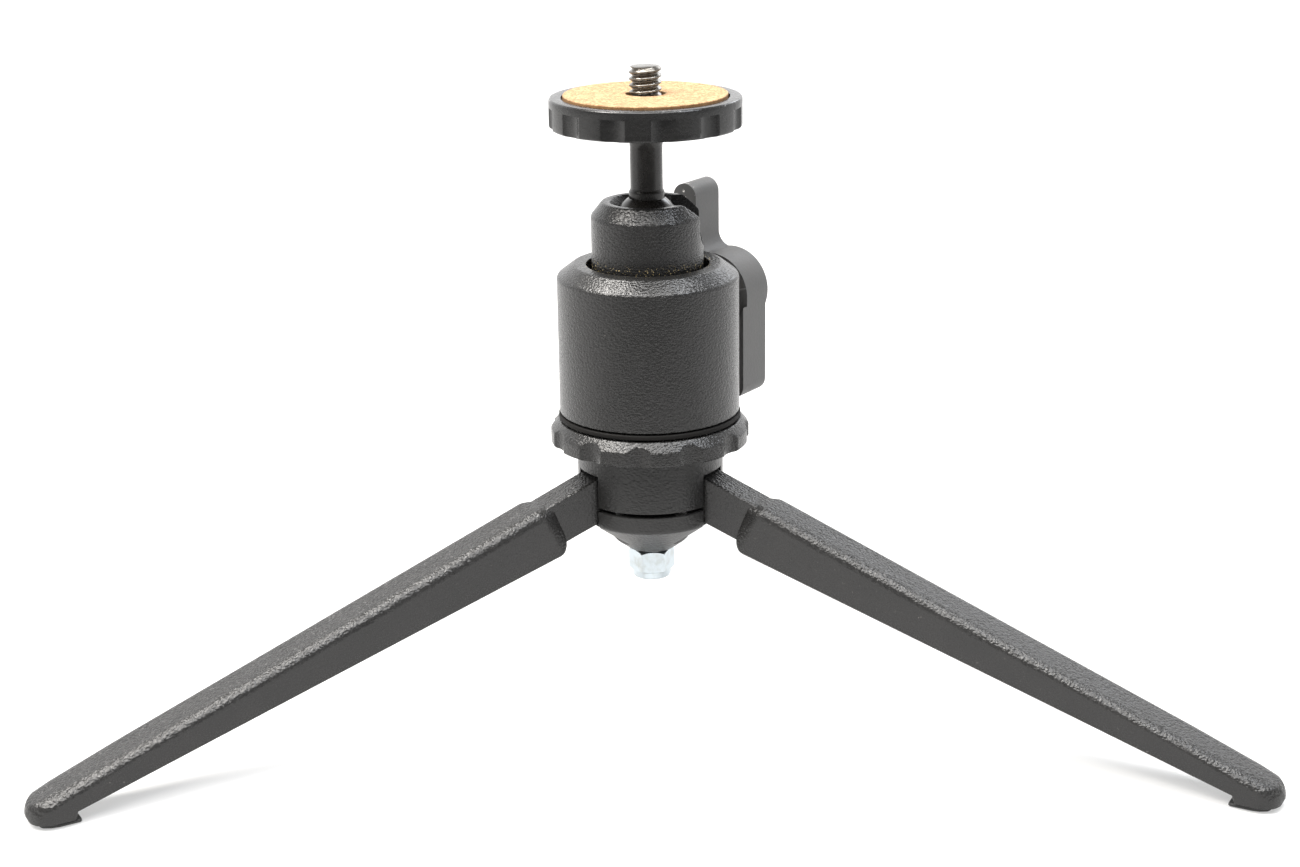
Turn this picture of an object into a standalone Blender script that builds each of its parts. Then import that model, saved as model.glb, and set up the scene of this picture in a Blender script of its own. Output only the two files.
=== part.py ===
"""Compact tabletop tripod with a ball head, built piece by piece.

The tripod's upright axis stands at x = 0, y = AXIS_Y. Heights are measured from the floor.
Legs point at the azimuths in LEGS, counted anticlockwise from +X as seen from above.
Lengths are in metres; MM turns millimetres into metres.
"""
import math

import bmesh
import bpy
from mathutils import Matrix, Vector

MM = 0.001
GAP = 0.3 * MM                     # free space between touching pieces
ROUND = 48                         # sides of a large turned piece
SMALL_ROUND = 24                   # sides of a small turned piece

# Camera platform and its screw
PLATFORM_R = 18.5 * MM
PLATFORM_BOTTOM = 112.8 * MM
PLATFORM_TOP = 118.6 * MM
PLATFORM_RECESS = 1.5 * MM
PLATFORM_EDGE = 0.5 * MM
PLATFORM_NOTCHES = 12
PLATFORM_NOTCH_WIDTH = 5.3 * MM
PLATFORM_NOTCH_DEPTH = 0.5 * MM
PLATFORM_NOTCH_TOP = 1.7 * MM      # below the platform's top
PLATFORM_NOTCH_TURN = -79.7        # azimuth of the first notch, degrees
CORK_R = 15.8 * MM
CORK_HOLE_R = 3.8 * MM
CORK_TOP = 119.1 * MM
SCREW_MAJOR_R = 3.12 * MM          # 1/4-20 UNC, outside diameter 6.24 mm
SCREW_MINOR_R = 2.45 * MM
SCREW_PITCH = 1.27 * MM
SCREW_TOP = 124.4 * MM
SCREW_SHOULDER_R = 3.4 * MM

# Ball and stem
BALL_R = 6.5 * MM
BALL_Z = 93.5 * MM
NECK_R = 3.15 * MM
STEM_TOP = 116.8 * MM
STEM_BORE_R = 1.9 * MM

# Rotating collar that holds the ball
COLLAR_R = 10.9 * MM
COLLAR_RIM_R = 8.7 * MM
COLLAR_MOUTH_R = 7.2 * MM
COLLAR_LIP_Z = 96.3 * MM
COLLAR_CHAMFER_Z = 95.7 * MM
COLLAR_TOP = 98.4 * MM
COLLAR_BORE_R = 7.4 * MM
COLLAR_FLANGE_R = 14.9 * MM
COLLAR_FLANGE_TOP = 81.6 * MM
COLLAR_BOTTOM = 79.6 * MM
COLLAR_SEAT_BOTTOM = 92.6 * MM
DROP_NOTCH_R = 4.0 * MM            # half the width of the drop notch
DROP_NOTCH_Z = BALL_Z              # centre of its round end
DROP_NOTCH_MOUTH = 5.8 * MM        # half width at the collar's rim
DROP_NOTCH_INNER = 3.5 * MM        # the notch's reach, from the collar's axis
DROP_NOTCH_OUTER = 14.0 * MM

# Head body
BODY_R = 17.8 * MM
BODY_BOTTOM = 56.6 * MM
BODY_CHAMFER_Z = 83.8 * MM
BODY_TOP = 86.2 * MM
BODY_TOP_R = 14.6 * MM
BODY_MOUTH_R = 12.0 * MM
BODY_BORE_R = 15.3 * MM
BODY_ROOF_Z = 81.9 * MM
SIDE_BOSS_R = 7.25 * MM
SIDE_BOSS_END = 22.6 * MM          # from the tripod's axis

# Lock lever, its shaft and the thrust parts
LEVER_AZIMUTH = 56.0
LEVER_Z = 75.0 * MM
SHAFT_R = 3.4 * MM
SHAFT_FLANGE_R = 4.2 * MM
SHAFT_FLANGE_END = 13.8 * MM
CAM_R = 2.9 * MM
CAM_LIFT = 0.4 * MM
CAM_REACH = 7.5 * MM
DRIVE_R = 2.2 * MM
LEVER_INNER = 23.5 * MM
LEVER_ARM_OUTER = 30.7 * MM
LEVER_BOSS_OUTER = 32.3 * MM
LEVER_BOSS_R = 8.3 * MM
LEVER_ARM_WIDTH = 5.4 * MM
LEVER_UP = 22.3 * MM
LEVER_DOWN = 21.2 * MM
LEVER_RECESS = 2.6 * MM
LEVER_SCREW_HEAD_R = 4.0 * MM
CUP_R = 7.1 * MM
CUP_BOTTOM = 83.0 * MM
CUP_TOP = 89.6 * MM
THRUST_BOTTOM = 78.6 * MM
THRUST_TOP = 82.7 * MM
PLUG_TOP = 64.0 * MM

# Rubber pad, lock ring, centre stud
PAD_R = 18.0 * MM
PAD_BOTTOM = 55.35 * MM
PAD_TOP = 56.3 * MM
RING_R = 19.7 * MM
RING_TOP_R = 18.1 * MM
RING_BOTTOM = 50.4 * MM
RING_CHAMFER_Z = 53.2 * MM
RING_TOP = 55.05 * MM
RING_NOTCHES = 12
RING_NOTCH_WIDTH = 5.1 * MM
RING_NOTCH_DEPTH = 0.9 * MM
RING_NOTCH_TURN = -96.4
STUD_TOP = 63.2 * MM
STUD_STEP_Z = 50.1 * MM
STUD_LOW_R = 2.5 * MM              # M5
STUD_BOTTOM = 20.9 * MM

# Hub, bottom cap and nut
HUB_R = 14.5 * MM
HUB_TOP = 50.1 * MM
HUB_BOTTOM = 39.1 * MM
CAP_TOP = 38.3 * MM
CAP_CONE_Z = 35.1 * MM
CAP_BOTTOM = 27.6 * MM
CAP_BOTTOM_R = 4.55 * MM
SLOT_WIDTH = 7.0 * MM
SLOT_INNER = 7.0 * MM
SLOT_ROOF = 45.5 * MM
NUT_FLATS = 8.0 * MM               # M5 self-locking nut
NUT_TOP = 27.3 * MM
NUT_HEX_BOTTOM = 22.9 * MM
NUT_BOTTOM = 21.4 * MM
NUT_COLLAR_R = 3.85 * MM
NUT_TURN = -86.0

# Legs
LEGS = {"left": 210.0, "right": 330.0, "back": 90.0}
PIVOT_R = 10.6 * MM
PIVOT_Z = 38.7 * MM
PIN_R = 1.25 * MM
PIN_LENGTH = 13.6 * MM
LEG_SLOPE = math.radians(19.75)
LEG_WIDTH = 9.6 * MM
TONGUE_WIDTH = 6.4 * MM
LEG_TOP = 7.81 * MM                # above the pivot, square to the leg
TONGUE_TOP = 7.2 * MM
TONGUE_BOTTOM = -1.75 * MM
SHOULDER_TOP = 13.0 * MM           # along the leg from the pivot
SHOULDER_BOTTOM = 11.4 * MM
LEG_TAPER = 0.0603                 # rise of the underside per length
LEG_BOTTOM = -3.04 * MM            # underside at the shoulder
FOOT_TIP = 130.3 * MM              # from the tripod's axis
FOOT_ROUND = 3.5 * MM
FOOT_CENTRE_Z = 1.56 * MM
SOLE_Z = 2.3 * MM
FOOT_PAD_HEEL = 121.4 * MM
FOOT_PAD_WIDTH = 9.2 * MM
EDGE_ROUND = 1.1 * MM

# The model's footprint is centred on the origin
AXIS_Y = -0.5 * (FOOT_TIP - (FOOT_TIP * 0.5 + LEG_WIDTH * 0.5 * math.cos(math.radians(30.0)) - 1.28 * MM))

for old in list(bpy.data.objects):
    bpy.data.objects.remove(old)


def finish(name, colour, roughness, metallic=0.0):
    """A plain finish for one sub-part."""
    material = bpy.data.materials.new(name)
    material.use_nodes = True
    shader = material.node_tree.nodes["Principled BSDF"]
    shader.inputs["Base Color"].default_value = (*colour, 1.0)
    shader.inputs["Roughness"].default_value = roughness
    shader.inputs["Metallic"].default_value = metallic
    return material


def black_paint(name):
    return finish(name, (0.035, 0.035, 0.037), 0.5)


def empty(name, parent, location, turn=0.0):
    """A joint's place: local +X points at azimuth turn."""
    marker = bpy.data.objects.new(name, None)
    bpy.context.collection.objects.link(marker)
    marker.parent = parent
    marker.location = location
    marker.rotation_euler = (0.0, 0.0, math.radians(turn))
    return marker


def piece(name, shape, material, parent, height=0.0, sharp=35.0):
    """Turn a bmesh into an object whose mesh hangs height below its parent's place."""
    bmesh.ops.recalc_face_normals(shape, faces=shape.faces)
    bmesh.ops.translate(shape, vec=(0.0, 0.0, -height), verts=shape.verts)
    mesh = bpy.data.meshes.new(name)
    shape.to_mesh(mesh)
    shape.free()
    mesh.shade_smooth()
    mesh.set_sharp_from_angle(angle=math.radians(sharp))
    thing = bpy.data.objects.new(name, mesh)
    bpy.context.collection.objects.link(thing)
    thing.parent = parent
    if material:
        mesh.materials.append(material)
    else:
        thing.hide_render = True
        thing.display_type = "WIRE"
    return thing


def boolean(target, tool, operation="DIFFERENCE"):
    modifier = target.modifiers.new(tool.name, "BOOLEAN")
    modifier.operation = operation
    modifier.object = tool


def arc(centre_x, centre_z, radius, start, end, steps):
    """Points of an arc, both ends included; angles in degrees."""
    points = []
    for step in range(steps + 1):
        angle = math.radians(start + (end - start) * step / steps)
        points.append((centre_x + radius * math.cos(angle), centre_z + radius * math.sin(angle)))
    return points


def turned(outline, sides=ROUND, closed=True):
    """Spin an outline of (radius, height) points round Z; closed outlines stay off the axis."""
    shape = bmesh.new()
    corners = [shape.verts.new((radius, 0.0, height)) for radius, height in outline]
    edges = [shape.edges.new(pair) for pair in zip(corners, corners[1:])]
    if closed:
        edges.append(shape.edges.new((corners[-1], corners[0])))
    bmesh.ops.spin(shape, geom=corners + edges, cent=(0, 0, 0), axis=(0, 0, 1), dvec=(0, 0, 0),
                   angle=2.0 * math.pi, steps=sides, use_merge=True, use_duplicate=False)
    bmesh.ops.remove_doubles(shape, verts=shape.verts, dist=1e-7)
    return shape


def prism(outline, width):
    """Extrude an outline of (x, z) points to a width centred on the XZ plane."""
    shape = bmesh.new()
    face = shape.faces.new([shape.verts.new((x, -0.5 * width, z)) for x, z in outline])
    side = bmesh.ops.extrude_face_region(shape, geom=[face])
    moved = [item for item in side["geom"] if isinstance(item, bmesh.types.BMVert)]
    bmesh.ops.translate(shape, vec=(0.0, width, 0.0), verts=moved)
    return shape


def rod(radius, length, sides=SMALL_ROUND, start=0.0):
    """A cylinder on Z from start, length long."""
    return turned([(0.0, start), (radius, start), (radius, start + length), (0.0, start + length)],
                  sides, closed=False)


def lie_along_x(shape):
    """Turn a shape made round Z so that it lies along +X."""
    bmesh.ops.rotate(shape, cent=(0, 0, 0), matrix=Matrix.Rotation(math.radians(90.0), 3, "Y"),
                     verts=shape.verts)
    return shape


def lie_along_y(shape):
    bmesh.ops.rotate(shape, cent=(0, 0, 0), matrix=Matrix.Rotation(math.radians(-90.0), 3, "X"),
                     verts=shape.verts)
    return shape


def notch_cutters(name, parent, count, turn, rim_r, width, depth, bottom, top):
    """Upright cylinders that scallop a rim: each cuts width across and depth in."""
    radius = (0.25 * width * width + depth * depth) / (2.0 * depth)
    shape = bmesh.new()
    for index in range(count):
        angle = math.radians(turn + index * 360.0 / count)
        reach = rim_r - depth + radius
        place = Vector((reach * math.cos(angle), reach * math.sin(angle), 0.5 * (bottom + top)))
        bmesh.ops.create_cone(shape, cap_ends=True, segments=SMALL_ROUND, radius1=radius, radius2=radius,
                              depth=top - bottom, matrix=Matrix.Translation(place))
    return piece(name, shape, None, parent)


tripod_axis = empty("tripod_axis", None, (0.0, AXIS_Y, 0.0))
ball_centre = empty("ball_centre", tripod_axis, (0.0, 0.0, BALL_Z))
lever_axis = empty("lever_axis", tripod_axis, (0.0, 0.0, LEVER_Z), LEVER_AZIMUTH)


# Camera screw: steel, 1/4-20 thread drawn as rings, a shoulder under the cork and a shank in the stem
def screw_outline():
    shank_bottom = STEM_TOP - 4.8 * MM
    shoulder_bottom = PLATFORM_TOP - PLATFORM_RECESS + GAP
    shoulder_top = shoulder_bottom + 0.9 * MM
    shank_r = STEM_BORE_R - GAP
    points = [(0.0, shank_bottom), (shank_r, shank_bottom), (shank_r, shoulder_bottom),
              (SCREW_SHOULDER_R, shoulder_bottom), (SCREW_SHOULDER_R, shoulder_top),
              (SCREW_MINOR_R, shoulder_top)]
    crest = 0.12 * SCREW_PITCH
    height = SCREW_TOP - 0.45 * MM - 4 * SCREW_PITCH
    for _ in range(4):
        points.append((SCREW_MINOR_R, height - 0.42 * SCREW_PITCH))
        points.append((SCREW_MAJOR_R, height - crest))
        points.append((SCREW_MAJOR_R, height + crest))
        height += SCREW_PITCH
    points.append((SCREW_MINOR_R, height - 0.58 * SCREW_PITCH))
    points.append((SCREW_MINOR_R + 0.25 * MM, SCREW_TOP - 0.5 * MM))
    points.append((SCREW_MINOR_R, SCREW_TOP))
    points.append((0.0, SCREW_TOP))
    return points


piece("camera_screw", turned(screw_outline(), SMALL_ROUND, closed=False),
      finish("screw_steel", (0.62, 0.61, 0.58), 0.3, 1.0), ball_centre, BALL_Z)

# Cork pad: a flat washer that lies in the platform's recess
cork_bottom = PLATFORM_TOP - PLATFORM_RECESS + GAP
piece("cork_pad", turned([(CORK_HOLE_R, cork_bottom), (CORK_R, cork_bottom),
                          (CORK_R, CORK_TOP), (CORK_HOLE_R, CORK_TOP)]),
      finish("cork", (0.72, 0.52, 0.32), 0.9), ball_centre, BALL_Z)

# Camera platform: turned disc with a recess, a bored hub and a scalloped rim
recess_floor = PLATFORM_TOP - PLATFORM_RECESS
platform_bore = NECK_R + GAP
platform = piece("camera_platform", turned([
    (platform_bore, PLATFORM_BOTTOM - 0.6 * MM), (platform_bore + 1.2 * MM, PLATFORM_BOTTOM - 0.6 * MM),
    (platform_bore + 1.8 * MM, PLATFORM_BOTTOM), (PLATFORM_R - PLATFORM_EDGE, PLATFORM_BOTTOM),
    (PLATFORM_R, PLATFORM_BOTTOM + PLATFORM_EDGE), (PLATFORM_R, PLATFORM_TOP - PLATFORM_EDGE),
    (PLATFORM_R - PLATFORM_EDGE, PLATFORM_TOP), (CORK_R + GAP, PLATFORM_TOP),
    (CORK_R + GAP, recess_floor), (platform_bore, recess_floor)], 2 * ROUND),
    black_paint("platform_black"), ball_centre, BALL_Z)
boolean(platform, notch_cutters("platform_notch_cutters", tripod_axis, PLATFORM_NOTCHES, PLATFORM_NOTCH_TURN,
                                PLATFORM_R, PLATFORM_NOTCH_WIDTH, PLATFORM_NOTCH_DEPTH,
                                PLATFORM_BOTTOM - 1.0 * MM, PLATFORM_TOP - PLATFORM_NOTCH_TOP))

# Ball stem: ball, small step, neck and the bored top that the screw's shank sits in
neck_angle = math.degrees(math.asin(1.1 * NECK_R / BALL_R))
ball_arc = arc(0.0, BALL_Z, BALL_R, -90.0, 90.0 - neck_angle, 18)
ball_arc[0] = (0.0, BALL_Z - BALL_R)
step_z = ball_arc[-1][1]
piece("ball_stem", turned(ball_arc + [
    (1.1 * NECK_R, step_z + 1.3 * MM), (NECK_R, step_z + 1.6 * MM),
    (NECK_R, STEM_TOP), (STEM_BORE_R, STEM_TOP), (STEM_BORE_R, STEM_TOP - 5.3 * MM),
    (0.0, STEM_TOP - 5.3 * MM)], 32, closed=False),
    finish("stem_gloss_black", (0.02, 0.02, 0.021), 0.2), ball_centre, BALL_Z)

# Ball collar: flanged sleeve with a spherical seat, a countersunk mouth and a drop notch towards +X
seat_r = BALL_R + GAP
lip_angle = math.degrees(math.asin((COLLAR_LIP_Z - BALL_Z) / seat_r))
seat_angle = math.degrees(math.asin((COLLAR_SEAT_BOTTOM - BALL_Z) / seat_r))
collar = piece("ball_collar", turned([
    (COLLAR_BORE_R, COLLAR_BOTTOM), (COLLAR_FLANGE_R, COLLAR_BOTTOM),
    (COLLAR_FLANGE_R, COLLAR_FLANGE_TOP), (COLLAR_R, COLLAR_FLANGE_TOP),
    (COLLAR_R, COLLAR_CHAMFER_Z), (COLLAR_RIM_R, COLLAR_TOP), (COLLAR_MOUTH_R, COLLAR_TOP)]
    + arc(0.0, BALL_Z, seat_r, lip_angle, seat_angle, 5)
    + [(COLLAR_BORE_R, COLLAR_SEAT_BOTTOM - 0.5 * MM)], 64), black_paint("collar_black"), tripod_axis)
notch_top = COLLAR_TOP + 1.0 * MM
notch = prism([(side, height - DROP_NOTCH_Z) for side, height in
               [(DROP_NOTCH_MOUTH, notch_top), (-DROP_NOTCH_MOUTH, notch_top),
                (-DROP_NOTCH_R, COLLAR_CHAMFER_Z)]
               + arc(0.0, DROP_NOTCH_Z, DROP_NOTCH_R, 180.0, 360.0, 12)
               + [(DROP_NOTCH_R, COLLAR_CHAMFER_Z)]], DROP_NOTCH_OUTER - DROP_NOTCH_INNER)
bmesh.ops.rotate(notch, cent=(0, 0, 0), matrix=Matrix.Rotation(math.radians(90.0), 3, "Z"), verts=notch.verts)
bmesh.ops.translate(notch, vec=(0.5 * (DROP_NOTCH_INNER + DROP_NOTCH_OUTER), 0.0, DROP_NOTCH_Z), verts=notch.verts)
boolean(collar, piece("drop_notch_cutter", notch, None, tripod_axis))

# Ball cup: plastic seat that presses the ball up against the collar's lip
cup_rim_angle = math.degrees(math.asin((CUP_TOP - BALL_Z) / seat_r))
cup_pocket = arc(0.0, BALL_Z, seat_r, cup_rim_angle, -90.0, 10)
cup_pocket[-1] = (0.0, BALL_Z - seat_r)
piece("ball_cup", turned([(0.0, CUP_BOTTOM), (CUP_R, CUP_BOTTOM), (CUP_R, CUP_TOP)] + cup_pocket,
                         32, closed=False),
      finish("cup_nylon", (0.75, 0.74, 0.7), 0.5), tripod_axis)

# Thrust block: steel disc that rides on the cam
piece("thrust_block", rod(CUP_R, THRUST_TOP - THRUST_BOTTOM, 32, THRUST_BOTTOM),
      finish("thrust_steel", (0.5, 0.5, 0.5), 0.35, 1.0), tripod_axis)

# Head body: die-cast shell, open below, with a mouth for the collar and a bored side boss
body = piece("head_body", turned([
    (BODY_BORE_R, BODY_BOTTOM), (BODY_R, BODY_BOTTOM), (BODY_R, BODY_CHAMFER_Z), (BODY_TOP_R, BODY_TOP),
    (BODY_MOUTH_R, BODY_TOP), (BODY_MOUTH_R, BODY_ROOF_Z), (BODY_BORE_R, BODY_ROOF_Z)], 64),
    black_paint("body_black"), tripod_axis)
boss_start = BODY_BORE_R + 0.5 * MM
boolean(body, piece("side_boss", lie_along_x(rod(SIDE_BOSS_R, SIDE_BOSS_END - boss_start, 32, boss_start)),
                    None, lever_axis), "UNION")
boolean(body, piece("shaft_bore_cutter", lie_along_x(rod(SHAFT_R + GAP, BODY_R, SMALL_ROUND, CAM_REACH + 2 * MM)),
                    None, lever_axis))

# Base plug: turned disc that closes the body and takes the stud's 1/4-20 thread
plug_r = BODY_BORE_R - GAP
thread_r = SCREW_MAJOR_R + GAP
piece("base_plug", turned([(thread_r, BODY_BOTTOM), (plug_r, BODY_BOTTOM), (plug_r, PLUG_TOP), (thread_r, PLUG_TOP)]),
      finish("plug_aluminium", (0.6, 0.6, 0.61), 0.4, 1.0), tripod_axis)

# Lever shaft: eccentric cam at the tripod's axis, retaining flange, journal and a drive end
shaft_outline = [
    (0.0, CAM_REACH + GAP), (SHAFT_R, CAM_REACH + GAP), (SHAFT_R, SHAFT_FLANGE_END - 1.5 * MM),
    (SHAFT_FLANGE_R, SHAFT_FLANGE_END - 1.5 * MM), (SHAFT_FLANGE_R, SHAFT_FLANGE_END),
    (SHAFT_R, SHAFT_FLANGE_END), (SHAFT_R, SIDE_BOSS_END), (DRIVE_R, SIDE_BOSS_END),
    (DRIVE_R, LEVER_BOSS_OUTER - 3.2 * MM), (0.0, LEVER_BOSS_OUTER - 3.2 * MM)]
shaft = piece("lever_shaft", lie_along_x(turned(shaft_outline, SMALL_ROUND, closed=False)),
              finish("shaft_steel", (0.55, 0.55, 0.55), 0.3, 1.0), lever_axis)
cam = lie_along_x(rod(CAM_R, 2.0 * CAM_REACH + 1.0 * MM, SMALL_ROUND, -CAM_REACH))
bmesh.ops.translate(cam, vec=(0.0, 0.0, CAM_LIFT), verts=cam.verts)
boolean(shaft, piece("cam_lobe", cam, None, lever_axis), "UNION")

# Lever washer: thin ring between the body's boss and the lever
washer_start = SIDE_BOSS_END + GAP
washer_end = LEVER_INNER - GAP
washer_bore = DRIVE_R + GAP
piece("lever_washer", lie_along_x(turned([
    (washer_bore, washer_start), (SIDE_BOSS_R - 0.5 * MM, washer_start),
    (SIDE_BOSS_R - 0.5 * MM, washer_end), (washer_bore, washer_end)], 32)),
    finish("washer_nylon", (0.05, 0.05, 0.05), 0.6), lever_axis)


# Lock lever: round boss with two offset arms, one up and one down, each tangent to the boss
def arm_outline(side, reach):
    """Arm outline in (tangential, height), from inside the boss to its round tip."""
    tip_r = 0.5 * LEVER_ARM_WIDTH
    middle = side * (LEVER_BOSS_R - tip_r)
    direction = math.copysign(1.0, reach)
    tip = arc(middle, reach - direction * tip_r, tip_r, 0.0, direction * 180.0, 8)
    return [(middle + tip_r, 0.0)] + tip + [(middle - tip_r, 0.0)]


lever = piece("lock_lever", lie_along_x(turned([
    (washer_bore, LEVER_INNER), (LEVER_BOSS_R - 0.6 * MM, LEVER_INNER), (LEVER_BOSS_R, LEVER_INNER + 0.6 * MM),
    (LEVER_BOSS_R, LEVER_BOSS_OUTER - 0.8 * MM), (LEVER_BOSS_R - 0.8 * MM, LEVER_BOSS_OUTER),
    (washer_bore, LEVER_BOSS_OUTER)], 40)), black_paint("lever_black"), lever_axis)
for arm_name, arm_side, arm_reach in (("upper_arm", 1.0, LEVER_UP), ("lower_arm", -1.0, -LEVER_DOWN)):
    arm = prism(arm_outline(arm_side, arm_reach), LEVER_ARM_OUTER - LEVER_INNER)
    bmesh.ops.rotate(arm, cent=(0, 0, 0), matrix=Matrix.Rotation(math.radians(90.0), 3, "Z"), verts=arm.verts)
    bmesh.ops.scale(arm, vec=(-1.0, 1.0, 1.0), verts=arm.verts)
    bmesh.ops.translate(arm, vec=(0.5 * (LEVER_ARM_OUTER + LEVER_INNER), 0.0, 0.0), verts=arm.verts)
    boolean(lever, piece(arm_name, arm, None, lever_axis), "UNION")
boolean(lever, piece("lever_bore_cutter", lie_along_x(
    rod(washer_bore, LEVER_BOSS_OUTER - LEVER_INNER - 1.0 * MM, SMALL_ROUND, LEVER_INNER - 1.0 * MM)),
    None, lever_axis))

boolean(lever, piece("lever_recess_cutter", lie_along_x(
    rod(LEVER_SCREW_HEAD_R + GAP, LEVER_RECESS + 1.0 * MM, 32, LEVER_BOSS_OUTER - LEVER_RECESS)),
    None, lever_axis))

# Lever screw: button head in the boss's recess, with a hexagon socket
head_inner = LEVER_BOSS_OUTER - LEVER_RECESS + GAP
lever_screw = piece("lever_screw", lie_along_x(turned([
    (0.0, head_inner), (LEVER_SCREW_HEAD_R, head_inner), (LEVER_SCREW_HEAD_R, LEVER_BOSS_OUTER - 1.2 * MM),
    (0.7 * LEVER_SCREW_HEAD_R, LEVER_BOSS_OUTER - 0.5 * MM), (0.0, LEVER_BOSS_OUTER - 0.5 * MM)],
    SMALL_ROUND, closed=False)), finish("lever_screw_steel", (0.12, 0.12, 0.12), 0.35, 1.0), lever_axis)
boolean(lever_screw, piece("socket_cutter", lie_along_x(rod(1.3 * MM, 2.0 * MM, 6, LEVER_BOSS_OUTER - 1.6 * MM)),
                           None, lever_axis))

# Rubber pad on the lock ring, under the head body
stud_bore = SCREW_MAJOR_R + GAP
piece("rubber_pad", turned([(stud_bore, PAD_BOTTOM), (PAD_R, PAD_BOTTOM), (PAD_R, PAD_TOP), (stud_bore, PAD_TOP)]),
      finish("pad_rubber", (0.015, 0.015, 0.015), 0.8), tripod_axis)

# Lock ring: thick ring with a chamfered, scalloped rim
ring = piece("lock_ring", turned([
    (stud_bore, RING_BOTTOM), (RING_R - 0.4 * MM, RING_BOTTOM), (RING_R, RING_BOTTOM + 0.4 * MM),
    (RING_R, RING_CHAMFER_Z), (RING_TOP_R, RING_TOP), (stud_bore, RING_TOP)], 2 * ROUND),
    black_paint("ring_black"), tripod_axis)
boolean(ring, notch_cutters("ring_notch_cutters", tripod_axis, RING_NOTCHES, RING_NOTCH_TURN, RING_R,
                            RING_NOTCH_WIDTH, RING_NOTCH_DEPTH, RING_BOTTOM - 1.0 * MM, RING_TOP + 1.0 * MM))

# Centre stud: 1/4-20 above, M5 below
piece("centre_stud", turned([
    (0.0, STUD_BOTTOM), (STUD_LOW_R - 0.4 * MM, STUD_BOTTOM), (STUD_LOW_R, STUD_BOTTOM + 0.4 * MM),
    (STUD_LOW_R, STUD_STEP_Z), (SCREW_MAJOR_R, STUD_STEP_Z + GAP),
    (SCREW_MAJOR_R, STUD_TOP - 0.5 * MM), (SCREW_MAJOR_R - 0.5 * MM, STUD_TOP), (0.0, STUD_TOP)],
    SMALL_ROUND, closed=False), finish("stud_steel", (0.6, 0.6, 0.58), 0.3, 1.0), tripod_axis)


def slot_cutters(name, bottom, top):
    """Three radial slots, one for each leg."""
    shape = bmesh.new()
    outer = HUB_R + 2.0 * MM
    for azimuth in LEGS.values():
        place = Matrix.Rotation(math.radians(azimuth), 4, "Z") @ Matrix.Translation(
            (0.5 * (SLOT_INNER + outer), 0.0, 0.5 * (bottom + top)))
        size = Matrix.Diagonal((outer - SLOT_INNER, SLOT_WIDTH, top - bottom, 1.0))
        bmesh.ops.create_cube(shape, size=1.0, matrix=place @ size)
    return piece(name, shape, None, tripod_axis)


def pin_cutters(name):
    """Grooves that the three pivot pins are clamped in."""
    shape = bmesh.new()
    for azimuth in LEGS.values():
        place = Matrix.Rotation(math.radians(azimuth), 4, "Z") @ Matrix.Translation(
            (PIVOT_R, 0.0, PIVOT_Z)) @ Matrix.Rotation(math.radians(90.0), 4, "X")
        bmesh.ops.create_cone(shape, cap_ends=True, segments=SMALL_ROUND, radius1=PIN_R + GAP,
                              radius2=PIN_R + GAP, depth=PIN_LENGTH + 2.0 * GAP, matrix=place)
    return piece(name, shape, None, tripod_axis)


# Hub: upper half of the leg joint, slotted for the legs
low_bore = STUD_LOW_R + GAP
hub = piece("hub", turned([
    (low_bore, HUB_BOTTOM), (HUB_R, HUB_BOTTOM), (HUB_R, HUB_TOP - 0.3 * MM), (HUB_R - 0.3 * MM, HUB_TOP),
    (low_bore, HUB_TOP)], 72), black_paint("hub_black"), tripod_axis)
grooves = pin_cutters("pin_groove_cutters")
boolean(hub, slot_cutters("hub_slot_cutters", HUB_BOTTOM - 1.0 * MM, SLOT_ROOF))
boolean(hub, grooves)

# Bottom cap: lower half of the leg joint, a slotted cone
cap = piece("bottom_cap", turned([
    (low_bore, CAP_BOTTOM), (CAP_BOTTOM_R, CAP_BOTTOM), (HUB_R, CAP_CONE_Z), (HUB_R, CAP_TOP),
    (low_bore, CAP_TOP)], 72), black_paint("cap_black"), tripod_axis)
boolean(cap, slot_cutters("cap_slot_cutters", CAP_BOTTOM - 1.0 * MM, CAP_TOP + 1.0 * MM))
boolean(cap, grooves)

# Lock nut: hexagon with chamfered corners and a round collar that holds the nylon ring
corner_r = NUT_FLATS / math.sqrt(3.0)
insert_r = NUT_COLLAR_R - 0.6 * MM
nut = piece("lock_nut", turned([
    (low_bore, NUT_BOTTOM + 1.6 * MM), (insert_r, NUT_BOTTOM + 1.6 * MM), (insert_r, NUT_BOTTOM),
    (NUT_COLLAR_R - 0.3 * MM, NUT_BOTTOM), (NUT_COLLAR_R, NUT_BOTTOM + 0.5 * MM),
    (NUT_COLLAR_R, NUT_HEX_BOTTOM), (corner_r + 0.1 * MM, NUT_HEX_BOTTOM + 0.3 * MM),
    (corner_r + 0.1 * MM, NUT_TOP - 0.5 * MM), (NUT_FLATS * 0.5, NUT_TOP), (low_bore, NUT_TOP)], 36),
    finish("nut_zinc", (0.8, 0.81, 0.83), 0.25, 1.0), tripod_axis)
hexagon = rod(corner_r, NUT_TOP - NUT_BOTTOM + 2.0 * MM, 6, NUT_BOTTOM - 1.0 * MM)
bmesh.ops.rotate(hexagon, cent=(0, 0, 0), matrix=Matrix.Rotation(math.radians(NUT_TURN), 3, "Z"),
                 verts=hexagon.verts)
boolean(nut, piece("hexagon_tool", hexagon, None, tripod_axis), "INTERSECT")

# Nylon ring in the nut's collar
nylon_r = insert_r - GAP
piece("nylon_insert", turned([
    (low_bore, NUT_BOTTOM + 0.2 * MM), (nylon_r, NUT_BOTTOM + 0.2 * MM), (nylon_r, NUT_BOTTOM + 1.3 * MM),
    (low_bore, NUT_BOTTOM + 1.3 * MM)], SMALL_ROUND),
    finish("insert_nylon", (0.75, 0.76, 0.78), 0.5), tripod_axis)


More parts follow.
